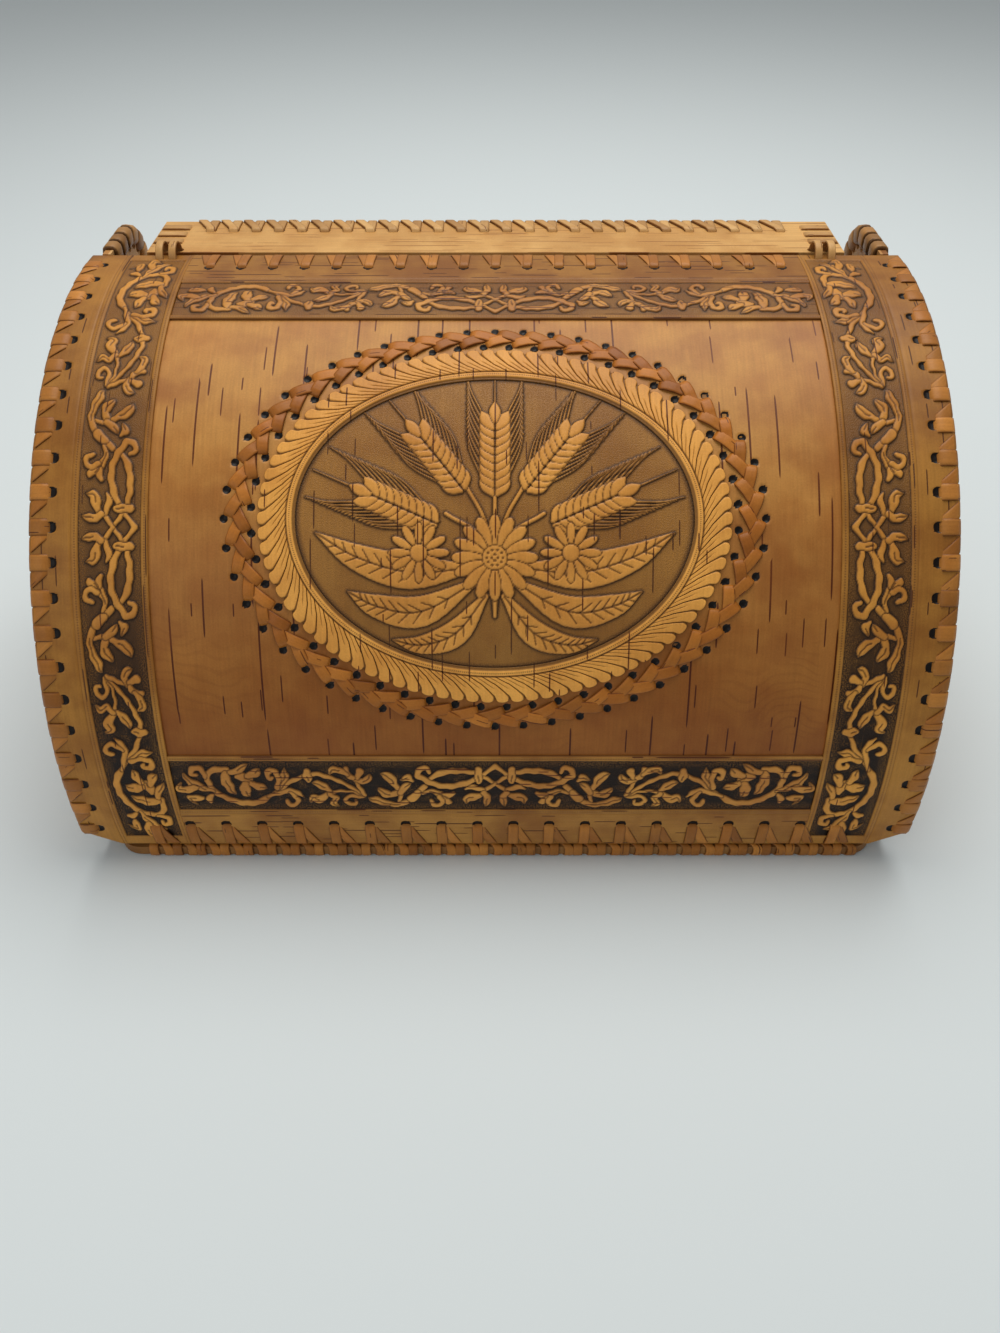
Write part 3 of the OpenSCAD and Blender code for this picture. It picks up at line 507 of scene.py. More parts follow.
def with_feet(x, s, rise, back, attributes):
    """Points of a grid on the hood, and after them the points at the rise back under its
    first column and under its last. The attributes are continued in the same way."""
    places = np.concatenate([hood(x, s, rise).reshape(-1, 3), hood(x[:, 0], s[:, 0], back),
                             hood(x[:, -1], s[:, -1], back)])
    values = {key: np.concatenate([v.reshape(-1, 3), v[:, 0], v[:, -1]])
              for key, v in attributes.items()}
    return places, values


def curved_sheet(name, x, s, rise, back, attributes, **facts):
    """Closed sheet on the hood. x, s and rise are grids of its face, one row for each line up
    the curve. Its back lies at the rise back, and is straight from side to side."""
    rows, columns = x.shape
    index = np.arange(rows * columns).reshape(rows, columns)
    left = rows * columns + np.arange(rows)
    right = left + rows
    faces = np.concatenate([grid_faces(index), between(index[:, 0], left),
                            between(right, index[:, -1]), between(left, right)]).tolist()
    faces.append([left[0], right[0], *index[0, ::-1]])
    faces.append([*index[-1], right[-1], left[-1]])
    places, values = with_feet(x, s, rise, back, attributes)
    return new_piece(name, places, faces, values, **facts)


def even_angles(a, b, count):
    """Angles round an ellipse that part its outline into equal lengths, clockwise from the
    top as seen from outside."""
    t = np.linspace(0, 2 * np.pi, 2001)
    step = np.hypot(np.diff(a * np.sin(t)), np.diff(b * np.cos(t)))
    run = np.concatenate([[0], np.cumsum(step)])
    return np.pi / 2 - np.interp(np.arange(count) / count * run[-1], run, t)


braid_count = 52
braid_inner = np.array([99.6, 80.0]) * mm
braid_outer = np.array([110.6, 89.2]) * mm
braid_turn = even_angles(*(braid_inner + braid_outer) / 2, braid_count)
braid_step = 2 * np.pi / braid_count


def on_oval(angle, axes):
    """(x, s) of the point at an angle on an ellipse about the oval's centre."""
    return axes[0] * np.cos(angle), oval_s + axes[1] * np.sin(angle)


def waves(x, s, seed, size, height):
    """Slow unevenness: a few sine waves of about size, with seeded directions."""
    chance = np.random.default_rng(seed)
    total = np.zeros(np.broadcast(x, s).shape)
    for _ in range(6):
        way, phase = chance.random(2) * 2 * np.pi
        length = size * (0.6 + 0.9 * chance.random())
        total += np.sin((x * np.cos(way) + s * np.sin(way)) * 2 * np.pi / length + phase)
    return total * height / 6


def paint_hole_shade(tree, pit, colour):
    """Colour with the holes painted black as shade, since they are only shallow dips. pit is 1
    inside one, and 0 elsewhere.
    """
    return mix(tree, rise_between(tree, pit, 0.02, 0.4), colour, srgb(18, 9, 5))


def field_tooling(tree, place, colour, height):
    """Darker and redder towards the lid's lower edge, with wavy growth lines there, and faint
    reddish stains from handling. The darkening is partly painted shade of the lower part, which
    faces forward and down. The tooling attribute's second part marks the holes."""
    up = put(tree, "SeparateXYZ", {0: place}).outputs[1]
    low = fall_between(tree, up, 0.05, 0.21)
    # Partly painted shade: the lower part of the lid, which faces forward and down, is darkened,
    # and also made redder.
    shade_and_red_tint = mix(tree, low, (1.0, 1.0, 1.0, 1), (0.62, 0.46, 0.32, 1))
    colour = times(tree, colour, shade_and_red_tint)
    bend = calc(tree, "MULTIPLY", noise(tree, place, 22, detail=2), 0.05)
    ring = calc(tree, "SINE", calc(tree, "MULTIPLY", calc(tree, "ADD", up, bend), 1500.0))
    ring = calc(tree, "MULTIPLY", rise_between(tree, ring, 0.3, 1.0),
                calc(tree, "MULTIPLY", low, rise_between(tree, noise(tree, place, 18), 0.5, 0.62)))
    colour = mix(tree, calc(tree, "MULTIPLY", ring, 0.16), colour, srgb(104, 48, 16))
    stain = rise_between(tree, noise(tree, place, 30, detail=6), 0.50, 0.64)
    colour = mix(tree, calc(tree, "MULTIPLY", stain, 0.30), colour, srgb(136, 72, 30))
    return paint_hole_shade(tree, held(tree, "tooling")[1], colour), height


field_bark = bark("field_bark", srgb(197, 140, 70), srgb(175, 115, 53), srgb(92, 40, 12),
                  large=(0.0125, 0.055, 0.00045, 0.021, 0.6),
                  small=(0.009, 0.024, 0.00035, 0.006, 0.36), rough=0.4, bump=0.3,
                  relief=field_tooling)
field_step, under_frame = 0.86 * mm, 2 * mm
field_wave, field_wave_height, sheet_back = 0.09, 0.3 * mm, -1 * mm
braid_hole_r, hole_depth = 1.95 * mm, 0.9 * mm
grid_x = lines(-lid_x, 8 * mm, -field_x - under_frame, field_step, field_x + under_frame,
               8 * mm, lid_x)
grid_s = lines(0, 5 * mm, field_low - under_frame, field_step, field_high + under_frame,
               6 * mm, arc)
sheet_x, sheet_s = np.meshgrid(grid_x, grid_s)
sheet_x = cut_corners(sheet_x, sheet_s)
inside_field = (np.abs(sheet_x) < field_x) & (sheet_s > field_low) & (sheet_s < field_high)
sheet_rise = np.where(inside_field,
                      waves(sheet_x, sheet_s, 3, field_wave, field_wave_height), 0)
braid_holes = [on_oval(a, braid_outer) for a in braid_turn]
braid_holes += [on_oval(a - 0.5 * braid_step, braid_inner) for a in braid_turn]
sheet_pit = punch(sheet_x, sheet_s, sheet_rise, braid_holes, braid_hole_r, hole_depth,
                  field_step)
curved_sheet("lid_smooth_sheet", sheet_x, sheet_s, sheet_rise, sheet_back,
             {"grain": at(sheet_x, sheet_s, 0), "tooling": at(0, sheet_pit, 0)},
             material=field_bark, body="lid", slot="face_bark", replaced=["lid_face"])
dress(bark("core_bark", margin_pale, margin_deep, pore_brown, "YXZ"), "lid_core")
dress(bark("lid_lining_bark", *inner_colours, "ZXY"), "lid_lining")


# ---- Embossed frame ----
# Four strips of thick bark round the lid. Between two dotted border lines the ground of each
# is pressed down, punched and stained dark, and a vine scroll stands up from it.

line_w, ground_rise = 2.6 * mm, 0.45 * mm
frame_hole_r, frame_wave, frame_wave_height = 2.5 * mm, 0.05, 0.12 * mm
side_margin, side_band_w = 16.6 * mm, 31 * mm
top_margin, top_band_w = 27 * mm, 30 * mm
low_margin, low_band_w = 23 * mm, 34 * mm
side_band_end = 6 * mm
vine_half_length, vine_half_width = 140.0, 13.0

# One half of the vine scroll, in millimetres: (along from the band's middle, towards the
# lid's middle, half width). Later shapes lie on top of earlier ones.
vine = [
    [(57.7, -5.1, 0.5), (61.2, -1.8, 0.8), (65.6, 1.4, 0.9), (70.5, 4.2, 1), (77.5, 6.6, 1.1),
     (81.5, 5.7, 1.2)],
    [(83.5, 5.4, 1), (89.9, 2.1, 1), (95.8, -3.1, 1.1), (100.2, -5.7, 1.2),
     (103.7, -8.3, 1.5), (109.1, -9.3, 1.6), (114.5, -8.3, 1.5), (119.4, -5.7, 1.4),
     (122.9, -2.5, 1.3), (124.9, 2.1, 1.3), (124.4, 6.6, 1.3), (120.4, 8.9, 1.4),
     (116, 8.6, 1.3)],
    [(57.7, -5.9, 0.5), (62.2, -3.1, 0.6), (67.1, -2.5, 0.7), (73, -3.2, 1)],
    [(58.2, -6, 0.6), (61.6, -5.3, 1), (64.6, -5.6, 1), (66, -7.7, 1), (64.4, -9.9, 1),
     (61.6, -9.5, 0.9), (61.6, -7.8, 0.7)],
    [(57.2, -4.8, 0.8), (59.7, 0.5, 1), (61, 4, 1.2)],
    [(61, 3.5, 1), (57.6, 2.9, 1.5), (55.5, 3.8, 1.8), (54.3, 6.1, 0.3)],
    [(60, 4.5, 1.1), (58.6, 7.6, 1.8)],
    [(61.5, 4.5, 1), (63.9, 6, 1.4), (64.6, 8.8, 1.4)],
    [(64.5, 6.5, 1.1), (67.5, 8.6, 1.4), (70.4, 8.6, 1.5), (71.6, 7, 0.8)],
    [(72.5, -2.6, 1), (74.2, -0.4, 1.6), (76.8, 1.2, 1.9), (79.5, 2.1, 0.3)],
    [(73.5, -4.3, 1.3), (77.5, -6.9, 2.2), (80.5, -6.3, 1.6), (81.4, -9.3, 0.3)],
    [(72.6, -4, 1.2), (70.1, -6.5, 1.3), (71.4, -9, 1.6), (69.6, -11.5, 0.3)],
    [(95.5, -1.5, 0.8), (93.3, 2, 1.3), (91.3, 5.5, 1.8), (91.2, 9.7, 0.3)],
    [(95.6, -1, 1), (94.4, 2.5, 1.1), (94.4, 6, 1.2), (96.2, 8.6, 1.2), (98.8, 7, 1.2),
     (98, 4.4, 1.1), (96.6, 4.9, 0.7)],
    [(99.5, -5, 0.9), (95.8, -4, 1), (92.3, -2.6, 1.3), (88, -2.6, 1.4), (84.3, -5.6, 0.4)],
    [(89.5, -3.4, 1), (87, -7, 1.1), (88.5, -10, 1.2), (91.4, -9.9, 1.2), (91.6, -7.9, 0.9)],
    [(112.3, 5.2, 1), (108.6, 4.7, 2.4), (105.4, 2.6, 0.3)],
    [(107, 5.8, 1.6), (103.6, 7.3, 1.9), (102, 9.3, 0.3)],
    [(106, 1.5, 1.5), (102.7, -0.2, 1.9), (99.7, -0.7, 0.3)],
    [(109, 1.5, 1.7), (109.4, -2.5, 2.4), (108.1, -5.6, 0.3)],
    [(115.3, 7.3, 1), (111.3, 8.3, 1.6), (108.8, 10.2, 1.2), (106.8, 11.6, 0.4)],
    [(117, 7, 1.3), (117.2, 3, 2.4), (115.8, -1, 2), (114.4, -4.2, 0.5)],
    [(123.5, -2.2, 0.8), (126.4, -1.4, 1.2), (130, 0.5, 2.2), (133, 2.7, 1.7), (135.3, 6.4, 0.6)],
    [(131.5, -0.5, 1.8), (135.6, -2, 1.6), (138.3, -0.8, 1.6), (137.2, 2.3, 0.3)],
    [(124.2, -4.6, 0.9), (126, -6.6, 1.4), (126, -8.6, 0.9)],
    [(128.8, -6.2, 0.9), (132, -6.6, 1.8), (134.6, -6.2, 1.2), (131.9, -10.5, 0.3)],
    [(126, 5.2, 1), (127, 8.8, 1.3), (130.4, 9.5, 1.3), (131.8, 7, 1.2), (129.6, 6, 0.9)],
    [(42.4, -9, 0.8), (41.8, -6.5, 1), (41.7, -3.8, 1.1)],
    [(42.4, -1.8, 1.3), (44, 1.5, 1.5), (46.1, 5, 2.3), (49.4, 6.5, 0.5)],
    [(42.8, -3.2, 1.3), (46, -4.6, 1.5), (48.8, -3.4, 2.1), (51.1, -1.2, 0.3)],
    [(41.5, -3.3, 1.3), (39.5, -0.3, 1.9), (37.1, 1.6, 0.3)],
    [(36.3, 3.3, 0.9), (38.3, 4.7, 1.7), (41.3, 3.5, 0.3)],
    [(37.5, -7.7, 1), (42.4, -10, 1.4), (47.4, -9.6, 1.4), (52.3, -7.7, 2), (55.9, -6.4, 0.3)],
    [(33.5, -3.9, 0.9), (28.6, -2.5, 1), (24.7, -3.8, 1.5), (21.4, -6.2, 0.3)],
    [(22.5, -5, 1.2), (20.2, -4.6, 1.3), (18.3, -3.7, 1)],
    [(22, -6.5, 1.2), (20.8, -8.3, 1.4), (19.6, -8.8, 0.8)],
    [(24.6, -5.2, 1.1), (23.4, -8.6, 1.2), (24.9, -10.6, 1.1), (27.6, -9.9, 1.1),
     (28, -7.9, 0.9)],
    [(30.6, 0.3, 1), (34, -3.2, 1.3)],
    [(9, 7.3, 1.1), (15.3, 8.2, 1.4), (22.7, 7.3, 1.4), (27.7, 4.6, 1.2), (29.6, 3, 0.8)],
    [(9, 3.6, 1.1), (13.9, 1.4, 1.4), (20.8, 0.1, 1.4), (26.7, 1.4, 1.4), (30.6, 3.7, 1.4),
     (33.6, 6, 1.4), (32.6, 8.9, 1.3), (29.9, 9.5, 1.2), (28.4, 7.6, 0.9)],
    [(5, 6.3, 1), (2.2, 8.6, 1.1), (0, 10.4, 1.2)],
    [(5, 5, 0.9), (0, 1.6, 0.9), (-4.5, -2, 1)],
    [(-5, 5, 0.9), (0, 1.6, 0.9), (4.5, -2, 1)],
    [(5.2, -1.8, 0.8), (8.5, -0.6, 1.4), (11, -0.4, 1.2), (13, -1.2, 0.3)],
    [(6.5, -4.8, 1.2), (9.6, -5.6, 2), (12.4, -6.8, 1.7), (13, -10, 0.3)],
    [(4.8, -3.5, 1.4), (3.4, -6.5, 1.7), (4, -9.2, 1.2), (4.6, -11, 0.3)],
    [(7.2, 8.6, 1.5), (7.2, 5.8, 1.7), (7.2, 3, 1.5)],
    [(34.2, -3.8, 1.9), (36.6, -6.6, 2.1)],
    [(81.5, 7.6, 1.6), (81.5, 5.2, 2), (81.3, 3.6, 1.3)]]
vine_cuts = [[(x, y, .16) for x, y, _ in stroke[1:]] for stroke in vine
             if max(w for _, _, w in stroke) > 1.45 and 2 < len(stroke) < 6]


def smooth_line(points, parts=6):
    """Catmull-Rom curve through points of any width, with parts steps between neighbours."""
    p = np.asarray(points, float)
    p = np.vstack([2 * p[0] - p[1], p, 2 * p[-1] - p[-2]])
    t = np.linspace(0, 1, parts, endpoint=False)[:, None]
    a, b, c, d = p[:-3, None], p[1:-2, None], p[2:-1, None], p[3:, None]
    curve = b + 0.5 * t * (c - a + t * (2 * a - 5 * b + 4 * c - d + t * (3 * (b - c) + d - a)))
    return np.vstack([curve.reshape(-1, p.shape[1]), p[-2:-1]])


def depth_in(u, v, stroke):
    """How deep each place lies inside a stroke of changing half width, which is the union of
    the tapered pieces between its sampled points. Far from the stroke it is -9."""
    line = smooth_line(stroke)
    depth = np.full(u.shape, -9.0)
    reach = line[:, 2].max() + 2
    near = np.nonzero((u > line[:, 0].min() - reach) & (u < line[:, 0].max() + reach)
                      & (v > line[:, 1].min() - reach) & (v < line[:, 1].max() + reach))
    start, run = line[:-1], np.diff(line, axis=0)
    du, dv = u[near][:, None] - start[:, 0], v[near][:, None] - start[:, 1]
    t = np.clip((du * run[:, 0] + dv * run[:, 1]) / ((run[:, :2] ** 2).sum(1) + 1e-9), 0, 1)
    away = np.hypot(du - t * run[:, 0], dv - t * run[:, 1])
    depth[near] = (start[:, 2] + t * run[:, 2] - away).max(1)
    return depth


def ease(value):
    """Smooth step from 0 to 1."""
    t = np.clip(value, 0, 1)
    return t * t * (3 - 2 * t)


def carve(u, v, shapes, cuts, grow=0.0, below=(0.0, 0.0)):
    """Relief from 0, the ground, to 1, and how near a shape the ground is, from 0 to 1. u and
    v are in millimetres. Each shape is domed, is wider by grow all round, and lies in a narrow
    groove that parts it from the shapes below it. Cuts are shallow lines. below is an earlier
    result to carve on."""
    relief, near = (np.zeros(u.shape) + start for start in below)
    for stroke in shapes:
        depth = depth_in(u, v, stroke) + grow
        top = ease(depth / 0.4 + 0.3) * (0.84 + 0.16 * ease(depth / 1.5))
        below = relief * (1 - 0.6 * ease(1 + depth / 0.35))
        relief = np.where(depth > -0.1, np.maximum(top, below), below)
        near = np.maximum(near, ease(1 + depth / 1.5))
    for stroke in cuts:
        relief = relief * (1 - 0.5 * ease(depth_in(u, v, stroke) / 0.3 + 1))
    return relief, near


def band_relief(along, across, half_length, half_width):
    """Vine scroll on a band's ground, the same in both halves of the band, with outlines that
    waver by at most wobble millimetres, as hand tooling does."""
    wobble = 0.22
    u = np.abs(along) / half_length * vine_half_length
    v = across / half_width * vine_half_width
    u, v = u + wobble * np.sin(1.3 * v + 0.5 * u), v + wobble * np.sin(1.1 * u + 0.3 * v)
    return carve(u, v, vine, vine_cuts, 0.1)


def band_profile(across, margin, band_w):
    """Across a strip of the frame from its outer edge: a plain margin, an incised line, the
    outer border line, the ground, and the inner border line. Returns the height without the
    scroll from 0 to 1, the distance from the nearest border line's middle, and whether the
    place is on the ground."""
    first, last = margin + line_w / 2, margin + band_w - line_w / 2
    from_line = np.where(np.abs(across - first) < np.abs(across - last),
                         across - first, across - last)
    ground = (across > margin + line_w) & (across < margin + band_w - line_w)
    lip = ease((line_w / 2 + 0.3 * mm - np.abs(from_line)) / (0.7 * mm))
    level = np.where(across < margin, 1 - 0.45 * ease(1 - (margin - across) / (0.8 * mm)), lip)
    level = level * ease(0.35 + (margin + band_w - across) / (0.5 * mm))
    return level, from_line, ground


def frame_tooling(tree, place, colour, height):
    """Stains the ground, which is nearly black low on the lid and brown high on it, and
    darkest beside the raised shapes. Leaves specks between the punch marks, darkens cuts,
    brightens the shapes' tops with a painted highlight that also stands for rubbed wear, and dots
    the border lines. The tooling attribute holds the height, the holes, and 0 off the ground or how
    near the shapes it is on it. The line attribute holds the distance from a border line's middle,
    the way along it and the way up the lid."""
    tool, line = held(tree, "tooling"), held(tree, "line")
    high = rise_between(tree, line[2], 0.05, 0.24)
    worn = mix(tree, high, (1.0, 1.0, 1.0, 1), (0.80, 0.76, 0.74, 1))
    colour = times(tree, colour, worn)
    stain = mix(tree, high, srgb(30, 16, 7), srgb(104, 70, 35))
    punch_marks = put(tree, "TexVoronoi", {"Vector": place, "Scale": 1500.0, "Randomness": 0.8},
                      voronoi_dimensions="2D").outputs["Distance"]
    near = fall_between(tree, calc(tree, "ABSOLUTE", line[0]), 2.5 * mm, 6.5 * mm)
    patchy = rise_between(tree, noise(tree, place, 170), 0.45, 0.75)
    speck = calc(tree, "MULTIPLY", fall_between(tree, punch_marks, 0.2, 0.42),
                 calc(tree, "MAXIMUM", near, patchy))
    stain = mix(tree, calc(tree, "MULTIPLY", speck, 0.55), stain, colour)
    close = calc(tree, "MULTIPLY", rise_between(tree, tool[2], 0.72, 1.0), 0.75)
    stain = mix(tree, close, stain, srgb(40, 23, 10))
    low = fall_between(tree, tool[0], 0.12, 0.45)
    rim = fall_between(tree, tool[0], 0.45, 0.85)
    scroll = rise_between(tree, tool[2], 0.05, 0.2)
    # Painted highlight on the shapes' tops, partly standing for rubbed wear.
    lit = calc(tree, "MULTIPLY_ADD", calc(tree, "MULTIPLY", scroll, rise_between(
        tree, tool[0], 0.7, 0.97)), 0.6, 1.0)
    colour = times(tree, colour, lit)
    far = fall_between(tree, tool[2], 0.35, 0.8)
    far = calc(tree, "MULTIPLY", far, calc(tree, "MULTIPLY", scroll, high))
    rim = calc(tree, "MULTIPLY", rim, calc(tree, "MULTIPLY_ADD", far, -0.75, 1.0))
    colour = mix(tree, calc(tree, "MULTIPLY", rim, 0.6), colour, srgb(96, 58, 25))
    share = calc(tree, "ADD", 1.0, calc(tree, "MULTIPLY", high,
                                        calc(tree, "SUBTRACT", tool[2], 1.0)))
    marks = fall_between(tree, punch_marks, 0.18, 0.42)
    share = calc(tree, "MAXIMUM", share, calc(tree, "MULTIPLY", marks, 0.7))
    share = calc(tree, "MULTIPLY", share, scroll)
    colour = mix(tree, calc(tree, "MULTIPLY", low, share), colour, stain)
    beat = calc(tree, "SUBTRACT", calc(tree, "PINGPONG", line[1], 1.1 * mm), 0.55 * mm)
    dot = calc(tree, "SQRT", calc(tree, "ADD", calc(tree, "MULTIPLY", beat, beat),
                                  calc(tree, "MULTIPLY", line[0], line[0])))
    dot = fall_between(tree, dot, 0.22 * mm, 0.42 * mm)
    colour = mix(tree, calc(tree, "MULTIPLY", dot, 0.6), colour, srgb(96, 60, 32))
    height = calc(tree, "SUBTRACT", height, calc(tree, "ADD", dot, calc(
        tree, "MULTIPLY", low, rise_between(tree, punch_marks, 0.15, 0.5))))
    return paint_hole_shade(tree, tool[1], colour), height


frame_bark = bark("frame_bark", srgb(188, 132, 56), srgb(152, 98, 38), srgb(88, 48, 20),
                  large=(0.014, 0.04, 0.0003, 0.012, 0.25), small=(0.008, 0.02, 0.0003, 0.005, 0.4),
                  rough=0.42, bump=0.6, relief=frame_tooling)
cross_bark = bark("cross_bark", srgb(184, 131, 60), srgb(150, 96, 40), srgb(88, 44, 18),
                  large=(0.005, 0.05, 0.0004, 0.016, 0.35), small=(0.004, 0.02, 0.0003, 0.006, 0.5),
                  rough=0.42, bump=0.6, relief=frame_tooling)


def embossed(name, x, s, level, ground, scroll, near, from_line, along, holes, grain, material,
             replaced):
    """A strip of the frame. level is its height where no scroll stands, from 0 to 1."""
    height = np.where(ground, scroll, level)
    near = np.maximum(near, ease((line_w / 2 + 0.8 * mm - np.abs(from_line)) / (0.8 * mm)))
    rise = ground_rise + (frame_thick - ground_rise) * height
    rise = rise + waves(x, s, len(name), frame_wave, frame_wave_height)
    pit = punch(x, s, rise, holes, frame_hole_r, hole_depth, 0.8 * mm)
    line = at(from_line, along, s)
    tooling = at(height, pit, np.where(ground, 0.4 + 0.6 * near, 0))
    curved_sheet(name, x, s, rise, 0.0, {"grain": grain, "tooling": tooling, "line": line},
                 material=material, body="lid", slot="relief_bark", replaced=replaced)


side_hole_x, side_first = 180.65 * mm, 12.5 * mm
side_places = np.linspace(side_first, arc - side_first, 21)
fine, plain = 0.42 * mm, 1.0 * mm
band_in = side_margin + side_band_w
for name, way in sides:
    out_lines = lines(0, plain, side_margin - 1 * mm, fine, band_in)
    across, s = np.meshgrid(out_lines, lines(0, fine, arc))
    reach = cut_corners(np.full(s.shape, lid_x), s)
    margin_x = lid_x - side_margin
    x = np.where(across < side_margin, reach - across / side_margin * (reach - margin_x),
                 lid_x - across)
    level, from_line, ground = band_profile(across, side_margin, side_band_w)
    ground = ground & (s > side_band_end) & (s < arc - side_band_end)
    level = np.where((across > side_margin + line_w) & ~ground, np.maximum(level, 0.9), level)
    scroll, near = band_relief(s - arc / 2, across - side_margin - side_band_w / 2,
                               arc / 2 - side_band_end, side_band_w / 2 - line_w)
    grain = at(x, s + 0.4 * way, 0)
    x, s, level, ground, scroll, near, from_line, grain = (g[:, ::-way].copy() for g in (
        way * x, s, level, ground, scroll, near, from_line, grain))
    embossed(f"{name}_embossed_band", x, s, level, ground, scroll, near, from_line, s.copy(),
             [(way * side_hole_x, p) for p in side_places], grain, frame_bark,
             [f"{name}_band"])

top_reach, low_reach, top_pitch, low_pitch = 15 * mm, 15.5 * mm, 14.6 * mm, 16.3 * mm
top_x, low_x = row(19, top_pitch), row(20, low_pitch)
top_holes, low_holes = [(p, arc - top_reach) for p in top_x], [(p, low_reach) for p in low_x]
for name, margin, band_w, upward in (("upper", top_margin, top_band_w, False),
                                     ("lower", low_margin, low_band_w, True)):
    across_lines = lines(0, plain, margin - 1 * mm, fine, margin + band_w)
    s_lines = across_lines if upward else arc - across_lines[::-1]
    x, s = np.meshgrid(lines(-field_x, fine, field_x), s_lines)
    across = s if upward else arc - s
    level, from_line, ground = band_profile(across, margin, band_w)
    scroll, near = band_relief(x, across - margin - band_w / 2, field_x - 0.5 * mm,
                               band_w / 2 - line_w)
    embossed(f"{name}_embossed_band", x, s.copy(), level, ground, scroll, near, from_line,
             x.copy(), low_holes if upward else top_holes, at(s, x, 0), cross_bark,
             [f"{name}_band"])


# ---- Oval relief ----
# A thin oval of bark, embossed and stained. Feathered tongues run round it outside a dotted
# ring, and inside lies a bouquet of wheat ears, leaves and daisies on a punched ground.

tongue_count, tongue_sweep = 86, 2.0
ring_w = 15.5 * mm
picture_w, picture_h = oval_w - ring_w, oval_h - ring_w
ring_turns, ring_steps = 1620, 44
ring_ground, ring_relief, scallop_depth = 0.35 * mm, 0.95 * mm, 0.11
bead, bead_mid, bead_length = 0.24, 0.15, 600
medal_bark = bark("medal_bark", srgb(208, 150, 70), srgb(182, 124, 54), srgb(84, 38, 14),
                  large=(0.016, 0.03, 0.00035, 0.01, 0.55), small=(0.012, 0.02, 0.0003, 0.005, 0.4),
                  rough=0.4, bump=0.6, relief=frame_tooling)


def off_middle(count):
    """0 at the middle of each whole step of count, and 1 at its ends."""
    return np.abs((count % 1) - 0.5) * 2


# The ring's grid runs from q = 0 at the picture to 1 at the tips. Up to bead it is the dotted
# border line, and past that its grid lines are the tongues' own, which sweep backwards by
# tongue_sweep tongues at the root, and less towards the tip with the square of the way left.
angle_table = even_angles(oval_w, oval_h, ring_turns)
angle_table = np.concatenate([angle_table, angle_table[:ring_turns // 8] - 2 * np.pi])
swept = np.arange(ring_turns) / ring_turns * tongue_count
q, swept = np.meshgrid(np.linspace(0, 1, ring_steps), swept)
leaf = np.clip((q - bead) / (1 - bead), 0, 1)
phase = swept + tongue_sweep * (1 - leaf) ** 2
angle = np.interp(phase, np.arange(len(angle_table)) / ring_turns * tongue_count, angle_table)
scallop = 1 - scallop_depth * off_middle(phase) ** 2.6
drawn_in = np.where(q > bead, 1 - (1 - scallop) * leaf, 1)
axes_x = picture_w + (oval_w - picture_w) * q * drawn_in
axes_y = picture_h + (oval_h - picture_h) * q * drawn_in
ring_x, ring_s = axes_x * np.cos(angle), oval_s + axes_y * np.sin(angle)

gap = 0.16 + 0.22 * ease((leaf - 0.8) / 0.2)
feather = 1 - 0.8 * ease((off_middle(swept) - 1 + gap) / gap)
feather = feather - 0.45 * ease((off_middle(swept * 2) - 0.72) / 0.28) * ease(1.9 - 3 * leaf)
feather = np.clip(feather, 0, 1) * ease(0.5 + (1 - q) / 0.05)
from_bead = (q - bead_mid) * ring_w
bead_line = ease((1.3 * mm - np.abs(from_bead)) / (0.5 * mm) + 0.45)
ring_height = np.where(q > bead, feather, np.maximum(bead_line, 0.35))
ring_height = ring_height * (1 - 0.7 * ease(1 - np.abs(q - bead) / 0.03))
ring_rise = ring_ground + ring_relief * ring_height
ring_along = np.arange(ring_turns)[:, None] / ring_turns * bead_length * mm
places, values = with_feet(ring_x, ring_s, ring_rise, 0.0, {
    "grain": at(ring_x, ring_s, 0), "tooling": at(ring_height, 0, 0.75),
    "line": at(from_bead, ring_along, ring_s)})
index = np.arange(ring_turns * ring_steps).reshape(ring_turns, ring_steps)
foot_in = ring_turns * ring_steps + np.arange(ring_turns)[:, None]
section = np.concatenate([foot_in, index, foot_in + ring_turns, foot_in], 1)
new_piece("oval_border", places, grid_faces(np.vstack([section, section[:1]])[::-1]), values,
          material=medal_bark, body="lid", slot="relief_bark", replaced=["medallion"])


def ear(x, y, tilt, length, size):
    """Ear of wheat as strokes: pairs of grains up an axis that starts at (x, y) and leans by
    tilt degrees, one grain at the tip, and thin beards past them."""
    lean = np.radians(tilt)
    up, side = np.array([np.sin(lean), np.cos(lean)]), np.array([np.cos(lean), -np.sin(lean)])
    start = np.array([x, y])
    beards, grains = [], []
    pairs = int(length / (1.55 * size))
    for k in range(pairs):
        foot = start + up * k * length / pairs
        for way in (-1, 1):
            out = side * way
            tip = foot + up * 3.6 * size + out * 2.6 * size
            beards.append([(*tip, .45), (*(tip + up * 5 * size + out * 2.2 * size), .35),
                           (*(tip + up * 9 * size + out * 3 * size), .25)])
            grains.append([(*(foot + out * .5 * size), .5 * size),
                           (*(foot + up * 1.8 * size + out * 1.7 * size), 1.25 * size),
                           (*tip, .3 * size)])
    tip = start + up * (length + 4 * size)
    grains.append([(*(tip - up * 4 * size), .6 * size), (*(tip - up * 2 * size), 1.2 * size),
                   (*tip, .3 * size)])
    beards.append([(*tip, .45), (*(tip + up * 8 * size), .25)])
    return beards + grains


def daisy(x, y, size, petals):
    """Daisy as strokes: petals round a centre, and the centre itself."""
    shapes = []
    for k in range(petals):
        a = 2 * np.pi * k / petals
        way = np.array([np.sin(a), np.cos(a)])
        shapes.append([(x + way[0] * size * t, y + way[1] * size * t, w * size)
                       for t, w in ((.26, .06), (.6, .15), (.88, .13), (1, .05))])
    return shapes + [[(x, y, .3 * size), (x + .1, y, .3 * size)]]


